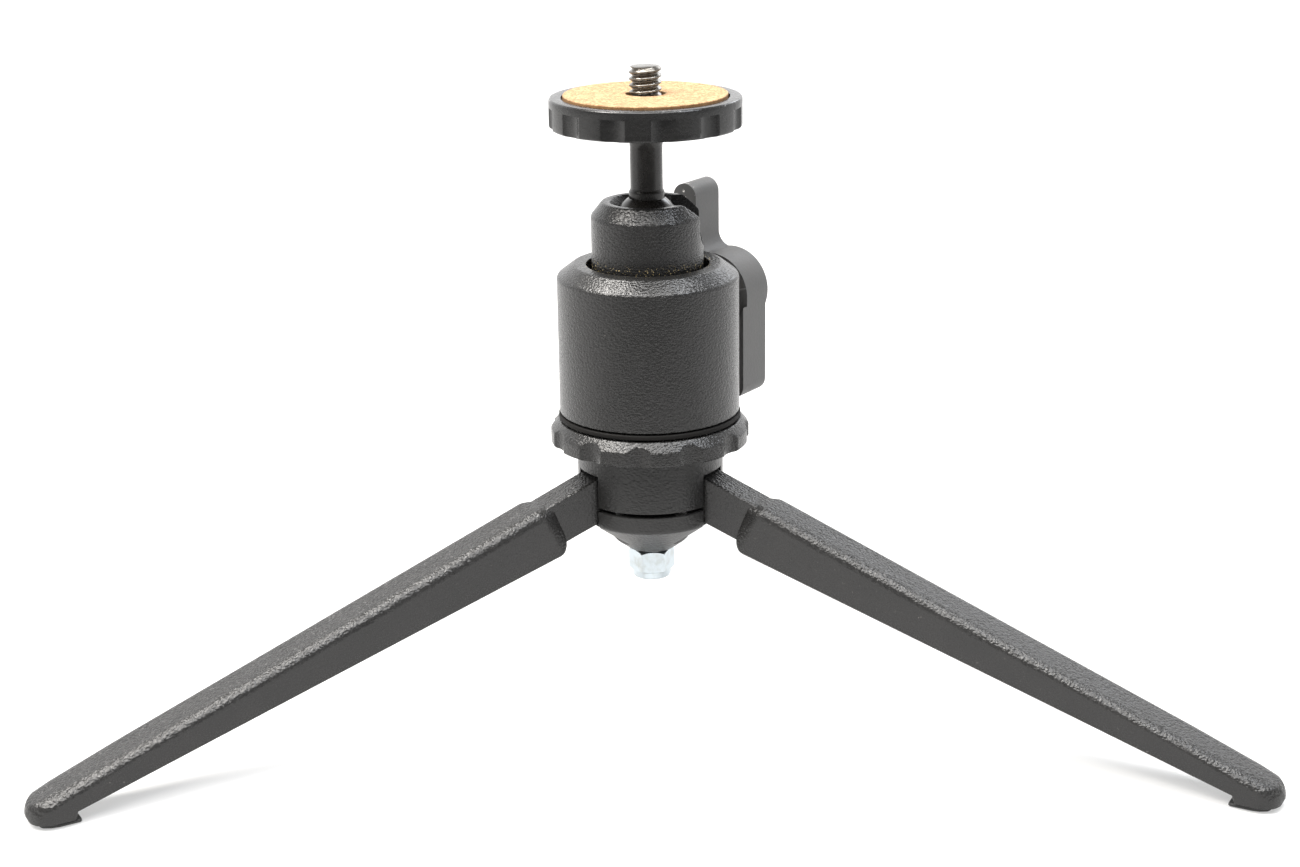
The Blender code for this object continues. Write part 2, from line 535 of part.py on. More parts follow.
def on_leg(along, square):
    """A point along the leg and square to it, seen from the side, from the pivot."""
    return (along * math.cos(LEG_SLOPE) + square * math.sin(LEG_SLOPE),
            square * math.cos(LEG_SLOPE) - along * math.sin(LEG_SLOPE))


def bar_outline():
    """Side view of the wide part of a leg: shoulder, tapering bar and rounded tip."""
    corner = 2.6 * MM
    slope = math.degrees(LEG_SLOPE)
    tip = arc(FOOT_TIP - FOOT_ROUND - PIVOT_R, FOOT_CENTRE_Z - PIVOT_Z, FOOT_ROUND, 90.0 - slope, 13.0, 6)
    sole_end = (tip[-1][0], SOLE_Z - PIVOT_Z)
    heel_along = 117.3 * MM
    heel = on_leg(heel_along, LEG_BOTTOM + LEG_TAPER * (heel_along - SHOULDER_TOP))
    rounded = [on_leg(SHOULDER_BOTTOM + corner + corner * math.cos(angle), LEG_BOTTOM + corner + corner * math.sin(angle))
               for angle in (math.radians(-90.0 - 22.5 * step) for step in range(5))]
    return [on_leg(SHOULDER_TOP, LEG_TOP)] + tip + [sole_end, heel] + rounded


def tongue_outline():
    """Side view of the narrow root: flat stop on top, round end about the pivot."""
    boss_r = 3.2 * MM
    stop_z = SLOT_ROOF - 0.4 * MM - PIVOT_Z
    inside = SHOULDER_TOP + 6.0 * MM
    stop_end = (stop_z - TONGUE_TOP / math.cos(LEG_SLOPE)) / -math.tan(LEG_SLOPE)
    round_end = arc(0.0, 0.0, boss_r, 165.0, 250.0, 6)
    return ([on_leg(inside, TONGUE_TOP), (stop_end, stop_z), (-1.2 * MM, stop_z)] + round_end
            + [on_leg(3.0 * MM, TONGUE_BOTTOM), on_leg(inside, TONGUE_BOTTOM)])


def foot_outline():
    """Side view of a foot pad: flat sole, rounded toe that carries on the leg's tip."""
    centre_x = FOOT_TIP - FOOT_ROUND - PIVOT_R
    heel_x = FOOT_PAD_HEEL - PIVOT_R
    top = SOLE_Z - GAP - PIVOT_Z
    toe_x = centre_x + FOOT_ROUND
    toe = arc(toe_x - 1.4 * MM - 0.1 * MM, 1.4 * MM - PIVOT_Z, 1.4 * MM, 0.0, -90.0, 4)
    return [(heel_x, top), (toe_x - 0.1 * MM, top)] + toe + [(heel_x + 0.3 * MM, -PIVOT_Z), (heel_x, 0.3 * MM - PIVOT_Z)]


def tip_tool(name, width, parent):
    """Plan view of a leg with its two front corners rounded, as an upright block."""
    corner = 3.2 * MM
    end = FOOT_TIP - PIVOT_R + 0.05 * MM
    half = 0.5 * width
    outline = ([(-5.0 * MM, -half - 1.0 * MM), (end - 6.0 * MM, -half - 1.0 * MM), (end - 5.0 * MM, -half)]
               + arc(end - corner, -half + corner, corner, -90.0, 0.0, 5)
               + arc(end - corner, half - corner, corner, 0.0, 90.0, 5)
               + [(end - 5.0 * MM, half), (end - 6.0 * MM, half + 1.0 * MM), (-5.0 * MM, half + 1.0 * MM)])
    shape = bmesh.new()
    face = shape.faces.new([shape.verts.new((x, y, -60.0 * MM)) for x, y in outline])
    side = bmesh.ops.extrude_face_region(shape, geom=[face])
    moved = [item for item in side["geom"] if isinstance(item, bmesh.types.BMVert)]
    bmesh.ops.translate(shape, vec=(0.0, 0.0, 80.0 * MM), verts=moved)
    return piece(name, shape, None, parent)


# Legs: die-cast bars that fold about clamped pins, each with a rubber foot pad
for side, azimuth in LEGS.items():
    angle = math.radians(azimuth)
    hinge = empty("leg_hinge_" + side, tripod_axis,
                  (PIVOT_R * math.cos(angle), PIVOT_R * math.sin(angle), PIVOT_Z), azimuth)
    leg = piece("leg_" + side, prism(bar_outline(), LEG_WIDTH), black_paint("leg_black_" + side), hinge)
    edge = leg.modifiers.new("rounded edges", "BEVEL")
    edge.width = EDGE_ROUND
    edge.segments = 2
    edge.limit_method = "ANGLE"
    edge.angle_limit = math.radians(60.0)
    boolean(leg, tip_tool("tip_tool_" + side, LEG_WIDTH, hinge), "INTERSECT")
    boolean(leg, piece("tongue_" + side, prism(tongue_outline(), TONGUE_WIDTH), None, hinge), "UNION")
    pin_hole = lie_along_y(rod(PIN_R + GAP, 2.0 * LEG_WIDTH, SMALL_ROUND, -LEG_WIDTH))
    boolean(leg, piece("pin_hole_" + side, pin_hole, None, hinge))
    piece("pivot_pin_" + side, lie_along_y(rod(PIN_R, PIN_LENGTH, SMALL_ROUND, -0.5 * PIN_LENGTH)),
          finish("pin_steel_" + side, (0.55, 0.55, 0.55), 0.3, 1.0), hinge)
    foot = piece("foot_pad_" + side, prism(foot_outline(), FOOT_PAD_WIDTH),
                 finish("foot_rubber_" + side, (0.02, 0.02, 0.021), 0.75), hinge)
    boolean(foot, tip_tool("pad_tool_" + side, FOOT_PAD_WIDTH, hinge), "INTERSECT")
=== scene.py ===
"""Compact tabletop tripod with a ball head: its finished look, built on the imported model.

Lengths inside the sections are millimetres from the tripod's upright axis and the floor.
"""
import math

import bmesh
import bpy
from mathutils import Matrix, Vector


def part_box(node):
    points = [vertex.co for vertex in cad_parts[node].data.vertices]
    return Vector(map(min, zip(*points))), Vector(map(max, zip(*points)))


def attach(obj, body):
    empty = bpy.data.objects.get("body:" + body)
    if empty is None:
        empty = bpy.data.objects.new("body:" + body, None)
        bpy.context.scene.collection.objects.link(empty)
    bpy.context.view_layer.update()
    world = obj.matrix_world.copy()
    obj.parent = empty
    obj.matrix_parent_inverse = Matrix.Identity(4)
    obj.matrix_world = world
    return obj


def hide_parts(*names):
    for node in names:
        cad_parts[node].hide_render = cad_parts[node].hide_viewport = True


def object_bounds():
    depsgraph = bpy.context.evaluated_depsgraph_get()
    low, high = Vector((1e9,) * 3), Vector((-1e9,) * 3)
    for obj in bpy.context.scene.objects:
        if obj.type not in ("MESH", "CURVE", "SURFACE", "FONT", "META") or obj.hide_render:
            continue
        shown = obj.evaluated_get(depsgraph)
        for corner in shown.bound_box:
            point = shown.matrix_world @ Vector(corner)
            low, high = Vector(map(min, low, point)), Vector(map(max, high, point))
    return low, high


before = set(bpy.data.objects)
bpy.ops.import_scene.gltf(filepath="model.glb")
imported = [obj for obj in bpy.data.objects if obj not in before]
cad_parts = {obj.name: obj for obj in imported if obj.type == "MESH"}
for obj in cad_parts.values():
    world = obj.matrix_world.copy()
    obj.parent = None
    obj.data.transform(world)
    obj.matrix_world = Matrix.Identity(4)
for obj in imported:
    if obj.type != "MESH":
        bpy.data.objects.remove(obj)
cad_low, cad_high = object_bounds()

# ---------------------------------------------------------------------------------------------
# Camera. It stands in front of the two spread legs and looks slightly down on the ball head.
# ---------------------------------------------------------------------------------------------
MM = 0.001
hub_low, hub_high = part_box("hub")
AXIS_Y = 0.5 * (hub_low.y + hub_high.y)
CAMERA_DISTANCE = 0.43
CAMERA_HEIGHT = 0.1876
CAMERA_TILT = math.radians(72.4)
CAMERA_ROLL = math.radians(-0.79)

camera_data = bpy.data.cameras.new("studio_camera")
camera_data.sensor_width = 36.0
camera_data.lens = 62.7
camera_data.clip_start = 0.01
camera = bpy.data.objects.new("studio_camera", camera_data)
bpy.context.collection.objects.link(camera)
camera.location = (0.0, AXIS_Y - CAMERA_DISTANCE, CAMERA_HEIGHT)
camera_turn = Matrix.Rotation(CAMERA_TILT, 3, "X") @ Matrix.Rotation(CAMERA_ROLL, 3, "Z")
camera.rotation_euler = camera_turn.to_euler()
bpy.context.scene.camera = camera

# ---------------------------------------------------------------------------------------------
# Hub. A die-cast puck with three slots for the legs, painted satin black. The centre stud runs
# through it and the nut below squeezes it against the bottom cap.
# ---------------------------------------------------------------------------------------------
def span(node):
    """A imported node's half width, bottom and top, in millimetres."""
    low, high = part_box(node)
    return [round(value / MM, 2) for value in (0.5 * (high.x - low.x), low.z, high.z)]


HUB_RADIUS, HUB_BOTTOM, HUB_TOP = span("hub")
LEG_AZIMUTHS = {"left": 210.0, "right": 330.0, "back": 90.0}
PIVOT_FROM_AXIS = 10.6
PIVOT_HEIGHT = 38.7
SLOT_WIDTH = 7.0
SLOT_INNER = 7.0
SLOT_ROOF = 45.5
SLOT_EDGE_ROUND = 0.22
STUD_BORE = 2.8


class Wire:
    """One value in a node tree; arithmetic on it adds the matching Math node."""

    def __init__(self, tree, socket):
        self.tree = tree
        self.socket = socket

    def maths(self, operation, first, second):
        return self.tree.node("Math", {"operation": operation}, {0: first, 1: second})

    def __add__(self, other):
        return self.maths("ADD", self, other)

    def __radd__(self, other):
        return self.maths("ADD", other, self)

    def __sub__(self, other):
        return self.maths("SUBTRACT", self, other)

    def __rsub__(self, other):
        return self.maths("SUBTRACT", other, self)

    def __mul__(self, other):
        return self.maths("MULTIPLY", self, other)

    def __rmul__(self, other):
        return self.maths("MULTIPLY", other, self)

    def __truediv__(self, other):
        return self.maths("DIVIDE", self, other)

    def __pow__(self, other):
        return self.maths("POWER", self, other)

    def hypot(self, other):
        return (self * self + other * other) ** 0.5

    def above(self, edge, blur):
        """0 below edge, 1 above it, with a soft step of width blur."""
        return self.ramp(edge - 0.5 * blur, edge + 0.5 * blur, 0.0, 1.0)

    def ramp(self, start, end, low, high):
        """low up to start, high from end on, with a soft step between them."""
        return self.tree.node("MapRange", {"interpolation_type": "SMOOTHSTEP"}, {
            "Value": self, "From Min": start, "From Max": end, "To Min": low, "To Max": high})


class Tree:
    """A shader node tree whose nodes are added by calls."""

    def __init__(self, owner):
        owner.use_nodes = True
        self.nodes = owner.node_tree.nodes
        self.links = owner.node_tree.links

    def wire_up(self, inputs, values):
        """Link or set each named input of a node."""
        for key, value in values.items():
            if isinstance(value, Wire):
                self.links.new(value.socket, inputs[key])
            else:
                inputs[key].default_value = value

    def node(self, kind, settings, sockets, out=0):
        """Add a node and give back one output, or all of them where out is None."""
        made = self.nodes.new("ShaderNode" + kind)
        for key, value in settings.items():
            setattr(made, key, value)
        self.wire_up(made.inputs, sockets)
        if out is None:
            return [Wire(self, socket) for socket in made.outputs]
        return Wire(self, made.outputs[out])


class Finish(Tree):
    """A Principled material; its patterns are in millimetres from the axis and the floor."""

    def __init__(self, name):
        self.material = bpy.data.materials.new(name)
        super().__init__(self.material)
        place = self.node("TexCoord", {}, {}, "Object")
        self.place = self.node("Mapping", {}, {
            "Vector": place, "Location": (0.0, -AXIS_Y / MM, 0.0), "Scale": (1.0 / MM,) * 3})

    def facing_up(self):
        """The upward share of the surface's own direction."""
        return self.node("SeparateXYZ", {}, {"Vector": self.node("TexCoord", {}, {}, "Normal")}, "Z")

    def xyz(self):
        """Distances to the right of the axis, behind it and above the floor."""
        return self.node("SeparateXYZ", {}, {"Vector": self.place}, None)

    def noise(self, size, detail=2.0, roughness=0.5, stretch=(1.0, 1.0, 1.0)):
        """Noise between 0 and 1 whose blobs are size millimetres across."""
        place = self.place
        if stretch != (1.0, 1.0, 1.0):
            place = self.node("VectorMath", {"operation": "MULTIPLY"}, {0: place, 1: stretch})
        return self.node("TexNoise", {}, {"Vector": place, "Scale": 1.0 / size, "Detail": detail,
                                          "Roughness": roughness})

    def cells(self, size, feature="F1", out=0):
        """Close-packed cells size millimetres across."""
        sockets = {"Vector": self.place, "Scale": 1.0 / size}
        return self.node("TexVoronoi", {"feature": feature}, sockets, out)

    def mix(self, share, first, second):
        """A colour between two colours."""
        return self.node("Mix", {"data_type": "RGBA"}, {0: share, 6: first, 7: second}, 2)

    def bump(self, height, depth):
        """A normal from a height that spans depth millimetres."""
        return self.node("Bump", {}, {"Height": height, "Distance": depth * MM, "Strength": 1.0}, "Normal")

    def surface(self, **inputs):
        """Set the shader's inputs, written with underscores, and give back the material."""
        values = {key.replace("_", " "): value for key, value in inputs.items()}
        self.wire_up(self.nodes["Principled BSDF"].inputs, values)
        return self.material


def grey(value, warmth=0.0):
    """A neutral colour, or a slightly warm one."""
    return (value * (1.0 + warmth), value, value * (1.0 - warmth), 1.0)


def crackle_paint(name, shade, rough, pebble, depth, sheen, wear=None, dust_mask=None):
    """Baked black paint with pebbles pebble wide and depth high, and dust lying in patches.

    wear and dust_mask give 0 to 1 over the piece: paint rubbed grey, and crumbs of dust.
    """
    finish = Finish(name)
    blobs = finish.noise(pebble, 1.0, 0.45, (1.0, 1.0, 1.7))
    grains = finish.noise(0.5 * pebble, 1.0, 0.4)
    drift = finish.noise(9.0, 3.0, 0.55)
    colour = finish.mix(drift, grey(0.75 * shade), grey(1.35 * shade, 0.03))
    dust = finish.noise(1.1, 4.0, 0.7).above(0.72, 0.05) * finish.noise(14.0).above(0.55, 0.2)
    colour = finish.mix(dust * 0.25, colour, grey(0.35, 0.08))
    if dust_mask:
        crumbs = finish.noise(0.5, 4.0, 0.75).above(0.61, 0.04) * dust_mask(finish)
        colour = finish.mix(crumbs * 0.8, colour, (0.42, 0.33, 0.17, 1.0))
    roughness = rough + 0.16 * grains + 0.10 * drift - 0.08
    if wear:
        worn = wear(finish)
        colour = finish.mix(worn, colour, grey(0.20))
        roughness = roughness - 0.12 * worn
    pits = finish.cells(1.1 * pebble)
    normal = finish.bump(blobs + 0.25 * grains - 0.45 * pits, depth)
    return finish.surface(Base_Color=colour, Roughness=roughness, Normal=normal, Specular_IOR_Level=sheen)


def outline_verts(shape, outline):
    """Joined vertices of a (radius, height[, rounding]) outline, corners rounded where asked."""
    corners = [shape.verts.new((point[0] * MM, 0.0, point[1] * MM)) for point in outline]
    closed = outline[0][0] > 0.0 or outline[-1][0] > 0.0
    for pair in zip(corners, corners[1:] + corners[:1] if closed else corners[1:]):
        shape.edges.new(pair)
    wanted = {}
    for corner, point in zip(corners, outline):
        if len(point) > 2:
            wanted.setdefault(point[2], []).append(corner)
    for rounding, group in wanted.items():
        bmesh.ops.bevel(shape, geom=group, offset=rounding * MM, offset_type="OFFSET", segments=4,
                        profile=0.5, affect="VERTICES", clamp_overlap=True, material=-1)


def turned(outline, sides=192):
    """A lathe-turned body round the upright axis, from its (radius, height[, rounding]) outline."""
    shape = bmesh.new()
    outline_verts(shape, outline)
    bmesh.ops.spin(shape, geom=shape.verts[:] + shape.edges[:], cent=(0, 0, 0), axis=(0, 0, 1),
                   dvec=(0, 0, 0), angle=2.0 * math.pi, steps=sides, use_merge=True, use_duplicate=False)
    bmesh.ops.remove_doubles(shape, verts=shape.verts, dist=0.0005 * MM)
    bmesh.ops.recalc_face_normals(shape, faces=shape.faces)
    return shape


def rotated(shape, degrees, axis):
    """The shape turned about an axis through the origin."""
    turn = Matrix.Rotation(math.radians(degrees), 3, axis)
    bmesh.ops.rotate(shape, cent=(0, 0, 0), matrix=turn, verts=shape.verts)
    return shape


def moved(shape, x, y, z):
    """The shape shifted by millimetres."""
    bmesh.ops.translate(shape, vec=(x * MM, y * MM, z * MM), verts=shape.verts)
    return shape


def block(length, width, height, centre, azimuth):
    """A plain block, its length pointing to an azimuth."""
    turn = Matrix.Rotation(math.radians(azimuth), 4, "Z")
    size = Matrix.Diagonal((length * MM, width * MM, height * MM, 1.0))
    shape = bmesh.new()
    bmesh.ops.create_cube(shape, size=1.0, matrix=turn @ Matrix.Translation(Vector(centre) * MM) @ size)
    return shape


def carved(shape, tool, operation="DIFFERENCE"):
    """The shape after a tool body is cut from it, joined to it, or shared with it."""
    made = []
    for part in (shape, tool):
        bmesh.ops.recalc_face_normals(part, faces=part.faces)
        mesh = bpy.data.meshes.new("tool")
        part.to_mesh(mesh)
        part.free()
        made.append(bpy.data.objects.new("tool", mesh))
        bpy.context.collection.objects.link(made[-1])
    cut = made[0].modifiers.new("cut", "BOOLEAN")
    cut.operation = operation
    cut.object = made[1]
    result = bmesh.new()
    result.from_object(made[0], bpy.context.evaluated_depsgraph_get())
    for thing in made:
        bpy.data.objects.remove(thing)
    bmesh.ops.remove_doubles(result, verts=result.verts, dist=0.001 * MM)
    bmesh.ops.dissolve_degenerate(result, edges=result.edges, dist=0.001 * MM)
    return result


def soften(shape, width, segments, sharper_than, where):
    """Round the sharp edges that where(x, y, z), in millimetres from the axis, picks."""
    picked = []
    for edge in shape.edges:
        middle = (edge.verts[0].co + edge.verts[1].co) / (2.0 * MM)
        if edge.is_manifold and edge.calc_face_angle() > math.radians(sharper_than):
            if where(*middle):
                picked.append(edge)
    bmesh.ops.bevel(shape, geom=picked, offset=width * MM, offset_type="OFFSET", segments=segments,
                    profile=0.5, affect="EDGES", clamp_overlap=True, material=-1)


def finished(name, shape, material, body, node, smooth_to=32.0):
    """Make the piece's object, shade it smooth up to an angle, and fix it to its body.

    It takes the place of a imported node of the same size.
    """
    bmesh.ops.recalc_face_normals(shape, faces=shape.faces)
    bmesh.ops.translate(shape, vec=(0.0, AXIS_Y, 0.0), verts=shape.verts)
    mesh = bpy.data.meshes.new(name)
    shape.to_mesh(mesh)
    shape.free()
    mesh.shade_smooth()
    mesh.set_sharp_from_angle(angle=math.radians(smooth_to))
    mesh.materials.append(material)
    thing = bpy.data.objects.new(name, mesh)
    bpy.context.collection.objects.link(thing)
    even = thing.modifiers.new("even_shading", "WEIGHTED_NORMAL")
    even.keep_sharp = True
    even.weight = 75
    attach(thing, body)
    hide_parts(node)


def kept(node, material):
    """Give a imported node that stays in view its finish."""
    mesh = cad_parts[node].data
    mesh.materials.clear()
    mesh.materials.append(material)


def leg_slots(shape, bottom, top):
    """Cut the three slots from SLOT_INNER out through the rim."""
    past_rim = HUB_RADIUS + 2.0
    centre = (0.5 * (SLOT_INNER + past_rim), 0.0, 0.5 * (bottom + top))
    for azimuth in LEG_AZIMUTHS.values():
        shape = carved(shape, block(past_rim - SLOT_INNER, SLOT_WIDTH, top - bottom, centre, azimuth))
    return shape


def on_slot_edge(x, y, z):
    return math.hypot(x, y) > SLOT_INNER + 1.0


hub = turned([(STUD_BORE, HUB_BOTTOM), (HUB_RADIUS, HUB_BOTTOM), (HUB_RADIUS, HUB_TOP, 0.5),
              (STUD_BORE, HUB_TOP)], 144)
hub = leg_slots(hub, HUB_BOTTOM - 1.0, SLOT_ROOF)
soften(hub, SLOT_EDGE_ROUND, 2, 50.0, lambda x, y, z: on_slot_edge(x, y, z) and z < HUB_TOP - 1.0)
hub_paint = crackle_paint("satin_black_casting", 0.010, 0.30, pebble=0.6, depth=0.10, sheen=0.38)
finished("hub_casting", hub, hub_paint, "base", "hub")

# ---------------------------------------------------------------------------------------------
# Bottom cap. The lower half of the leg joint, a short cylinder that runs down into a cone. It
# is cast like the hub and slotted with it, so the pivot pins are clamped between the two.
# ---------------------------------------------------------------------------------------------
CAP_RADIUS, CAP_BOTTOM, CAP_TOP = span("bottom_cap")
CAP_CONE_TOP = 35.1
CAP_TIP_RADIUS = 4.55

cap = turned([(STUD_BORE, CAP_BOTTOM), (CAP_TIP_RADIUS, CAP_BOTTOM, 0.35), (CAP_RADIUS, CAP_CONE_TOP, 0.5),
              (CAP_RADIUS, CAP_TOP), (STUD_BORE, CAP_TOP)], 144)
cap = leg_slots(cap, CAP_BOTTOM - 1.0, CAP_TOP + 1.0)
soften(cap, SLOT_EDGE_ROUND, 2, 50.0, on_slot_edge)
cap_paint = crackle_paint("satin_black_cone", 0.014, 0.32, pebble=0.6, depth=0.09, sheen=0.38)
finished("bottom_cap_casting", cap, cap_paint, "base", "bottom_cap")

# ---------------------------------------------------------------------------------------------
# Centre stud, nut and pivot pins. The zinc-plated M5 self-locking nut has a hexagon, a round
# collar and a nylon ring inside it. The stud and pins are plain ground steel, mostly hidden.
# ---------------------------------------------------------------------------------------------
_, NUT_BOTTOM, NUT_TOP = span("lock_nut")
NUT_FLATS = 8.0
NUT_HEX_BOTTOM = 22.9
NUT_COLLAR = 3.85
NUT_COLLAR_WALL = 0.6
NUT_INSERT_SEAT = NUT_BOTTOM + 1.6
NUT_TURN = -86.0


def plated_steel(name, colour, rough):
    """Bright metal with fine turning lines and a faint tarnish."""
    finish = Finish(name)
    tarnish = finish.noise(2.6, 4.0, 0.65)
    lines = finish.noise(0.12, 2.0, 0.5, (0.15, 0.15, 3.0))
    dull = (colour[0] * 0.62, colour[1] * 0.55, colour[2] * 0.45, 1.0)
    tint = finish.mix(tarnish.above(0.58, 0.3) * 0.45, (*colour, 1.0), dull)
    return finish.surface(Base_Color=tint, Metallic=1.0, Normal=finish.bump(lines, 0.004),
                          Roughness=rough + 0.14 * lines + 0.12 * tarnish - 0.1)


def hexagon(flats, height, middle):
    """An upright hexagonal bar round the origin, with two corners along X."""
    corner = flats / math.sqrt(3.0) * MM
    shape = bmesh.new()
    bmesh.ops.create_cone(shape, cap_ends=True, segments=6, radius1=corner, radius2=corner,
                          depth=height * MM, matrix=Matrix.Translation((0.0, 0.0, middle * MM)))
    return shape


nut_corner = NUT_FLATS / math.sqrt(3.0) + 0.05
nut = turned([(STUD_BORE, NUT_INSERT_SEAT), (NUT_COLLAR - NUT_COLLAR_WALL, NUT_INSERT_SEAT),
              (NUT_COLLAR - NUT_COLLAR_WALL, NUT_BOTTOM, 0.15), (NUT_COLLAR, NUT_BOTTOM, 0.55),
              (NUT_COLLAR, NUT_HEX_BOTTOM, 0.1), (nut_corner, NUT_HEX_BOTTOM + 0.35),
              (nut_corner, NUT_TOP - 0.45), (0.5 * NUT_FLATS, NUT_TOP, 0.1), (STUD_BORE, NUT_TOP)], 96)
nut = carved(nut, rotated(hexagon(NUT_FLATS, 12.0, 24.0), NUT_TURN, "Z"), "INTERSECT")
soften(nut, 0.12, 2, 45.0, lambda x, y, z: math.hypot(x, y) > NUT_COLLAR + 0.45)
zinc = plated_steel("bright_zinc", (0.48, 0.53, 0.56), 0.30)
finished("lock_nut_zinc", nut, zinc, "base", "lock_nut")
kept("centre_stud", plated_steel("stud_zinc", (0.72, 0.72, 0.70), 0.3))
pin_steel = plated_steel("ground_pin_steel", (0.56, 0.56, 0.55), 0.3)
for side in LEG_AZIMUTHS:
    kept("pivot_pin_" + side, pin_steel)


def plain_plastic(name, colour, rough):
    """Moulded nylon: faint flow marks and a slightly uneven gloss."""
    finish = Finish(name)
    flow = finish.noise(1.8, 3.0, 0.6)
    tint = finish.mix(flow, tuple(0.88 * part for part in colour) + (1.0,), (*colour, 1.0))
    return finish.surface(Base_Color=tint, Roughness=rough + 0.12 * flow, Normal=finish.bump(flow, 0.01))


kept("nylon_insert", plain_plastic("insert_nylon_blue_white", (0.74, 0.77, 0.80), 0.42))

# ---------------------------------------------------------------------------------------------
# Legs. Die-cast tapering bars with a narrow root that turns in the hub's slot. Their tops are
# pebbled black paint, the flanks smoother, and the edges between them are well rounded.
# ---------------------------------------------------------------------------------------------
LEG_SLOPE = math.radians(19.75)
LEG_WIDTH = 9.5
ROOT_WIDTH = 6.4
LEG_TOP = 7.72
ROOT_TOP = 7.05
ROOT_BOTTOM = -1.7
SHOULDER_TOP = 13.05
SHOULDER_BOTTOM = 11.5
SHOULDER_ROUND = 2.8
SHOULDER_STEPS = 8
LEG_TAPER = 0.0603
LEG_BOTTOM = -3.0
HEEL_ALONG = 116.6
FOOT_TIP = 129.9
FOOT_ROUND = 2.6
FOOT_CENTRE_HEIGHT = 2.24
SOLE_HEIGHT = 0.8
SHOE_HEEL = 120.9
SHOE_TOE_ROUND = 0.6
TOP_EDGE_ROUND = 2.1
TIP_EXTRA_ROUND = 1.0
TIP_ROUND_FROM = 112.0


def bow(centre_x, centre_z, radius, start, end, steps):
    """Points along an arc, both ends included; angles in degrees."""
    turns = [math.radians(start + (end - start) * step / steps) for step in range(steps + 1)]
    return [(centre_x + radius * math.cos(turn), centre_z + radius * math.sin(turn)) for turn in turns]


def slab(outline, width):
    """A flat plate of an (x, z) outline, width across Y and centred on it."""
    shape = bmesh.new()
    face = shape.faces.new([shape.verts.new((x * MM, -0.5 * width * MM, z * MM)) for x, z in outline])
    grown = bmesh.ops.extrude_face_region(shape, geom=[face])["geom"]
    far_side = [part for part in grown if isinstance(part, bmesh.types.BMVert)]
    bmesh.ops.translate(shape, vec=(0.0, width * MM, 0.0), verts=far_side)
    return shape


def on_leg(along, square):
    """(distance from the axis, height) of a point along the leg and square to it from the pivot."""
    return (PIVOT_FROM_AXIS + along * math.cos(LEG_SLOPE) + square * math.sin(LEG_SLOPE),
            PIVOT_HEIGHT + square * math.cos(LEG_SLOPE) - along * math.sin(LEG_SLOPE))


def plan_half_width(x, width, end):
    """Half a leg's width at x: straight sides, then a well rounded tip."""
    half = 0.5 * width
    corner = 0.98 * half
    past = min(max(x - (end - corner), 0.0), 0.98 * corner)
    return half - corner + math.sqrt(corner * corner - past * past)


def section_loop(shape, top, bottom, width, end, top_round, bottom_round):
    """A rounded four-sided loop of vertices between a top and a bottom point of the side view."""
    tall = math.hypot(top[0] - bottom[0], top[1] - bottom[1])
    half = 0.5 * width
    verts = []
    for start, radius, is_top in ((-90.0, bottom_round, False), (0.0, top_round, True),
                                  (90.0, top_round, True), (180.0, bottom_round, False)):
        if is_top:
            near_tip = (top[0] - TIP_ROUND_FROM) / (end - TIP_ROUND_FROM)
            radius += TIP_EXTRA_ROUND * min(1.0, max(0.0, near_tip))
        radius = min(radius, 0.45 * tall, 0.7 * half)
        side = 1.0 if start < 80.0 else -1.0
        level = tall - radius if is_top else radius
        for across, up in bow(side * (half - radius), level, radius, start, start + 90.0, 6):
            share = up / tall
            x = bottom[0] + (top[0] - bottom[0]) * share
            z = bottom[1] + (top[1] - bottom[1]) * share
            across *= plan_half_width(x, width, end) / half
            verts.append(shape.verts.new((x * MM, across * MM, z * MM)))
    return verts


def lofted(stations, width, end, top_round, bottom_round):
    """A closed body through rounded sections, each (top point, bottom point[, how much narrower])."""
    shape = bmesh.new()
    loops = []
    for top, bottom, *narrower in stations:
        verts = section_loop(shape, top, bottom, width - sum(narrower), end, top_round, bottom_round)
        loops.append([shape.edges.new(pair) for pair in zip(verts, verts[1:] + verts[:1])])
        if len(loops) in (1, len(stations)):
            shape.faces.new(verts)
    for first, second in zip(loops, loops[1:]):
        bmesh.ops.bridge_loops(shape, edges=first + second)
    bmesh.ops.recalc_face_normals(shape, faces=shape.faces)
    return shape


def along_path(points, count):
    """count + 1 points spread evenly along a broken line."""
    lengths = [math.dist(*pair) for pair in zip(points, points[1:])]
    total = sum(lengths)
    spread = []
    for step in range(count + 1):
        left = total * step / count
        index = 0
        while index < len(lengths) - 1 and left > lengths[index]:
            left -= lengths[index]
            index += 1
        share = min(1.0, left / lengths[index])
        spread.append(tuple(a + (b - a) * share for a, b in zip(points[index], points[index + 1])))
    return spread


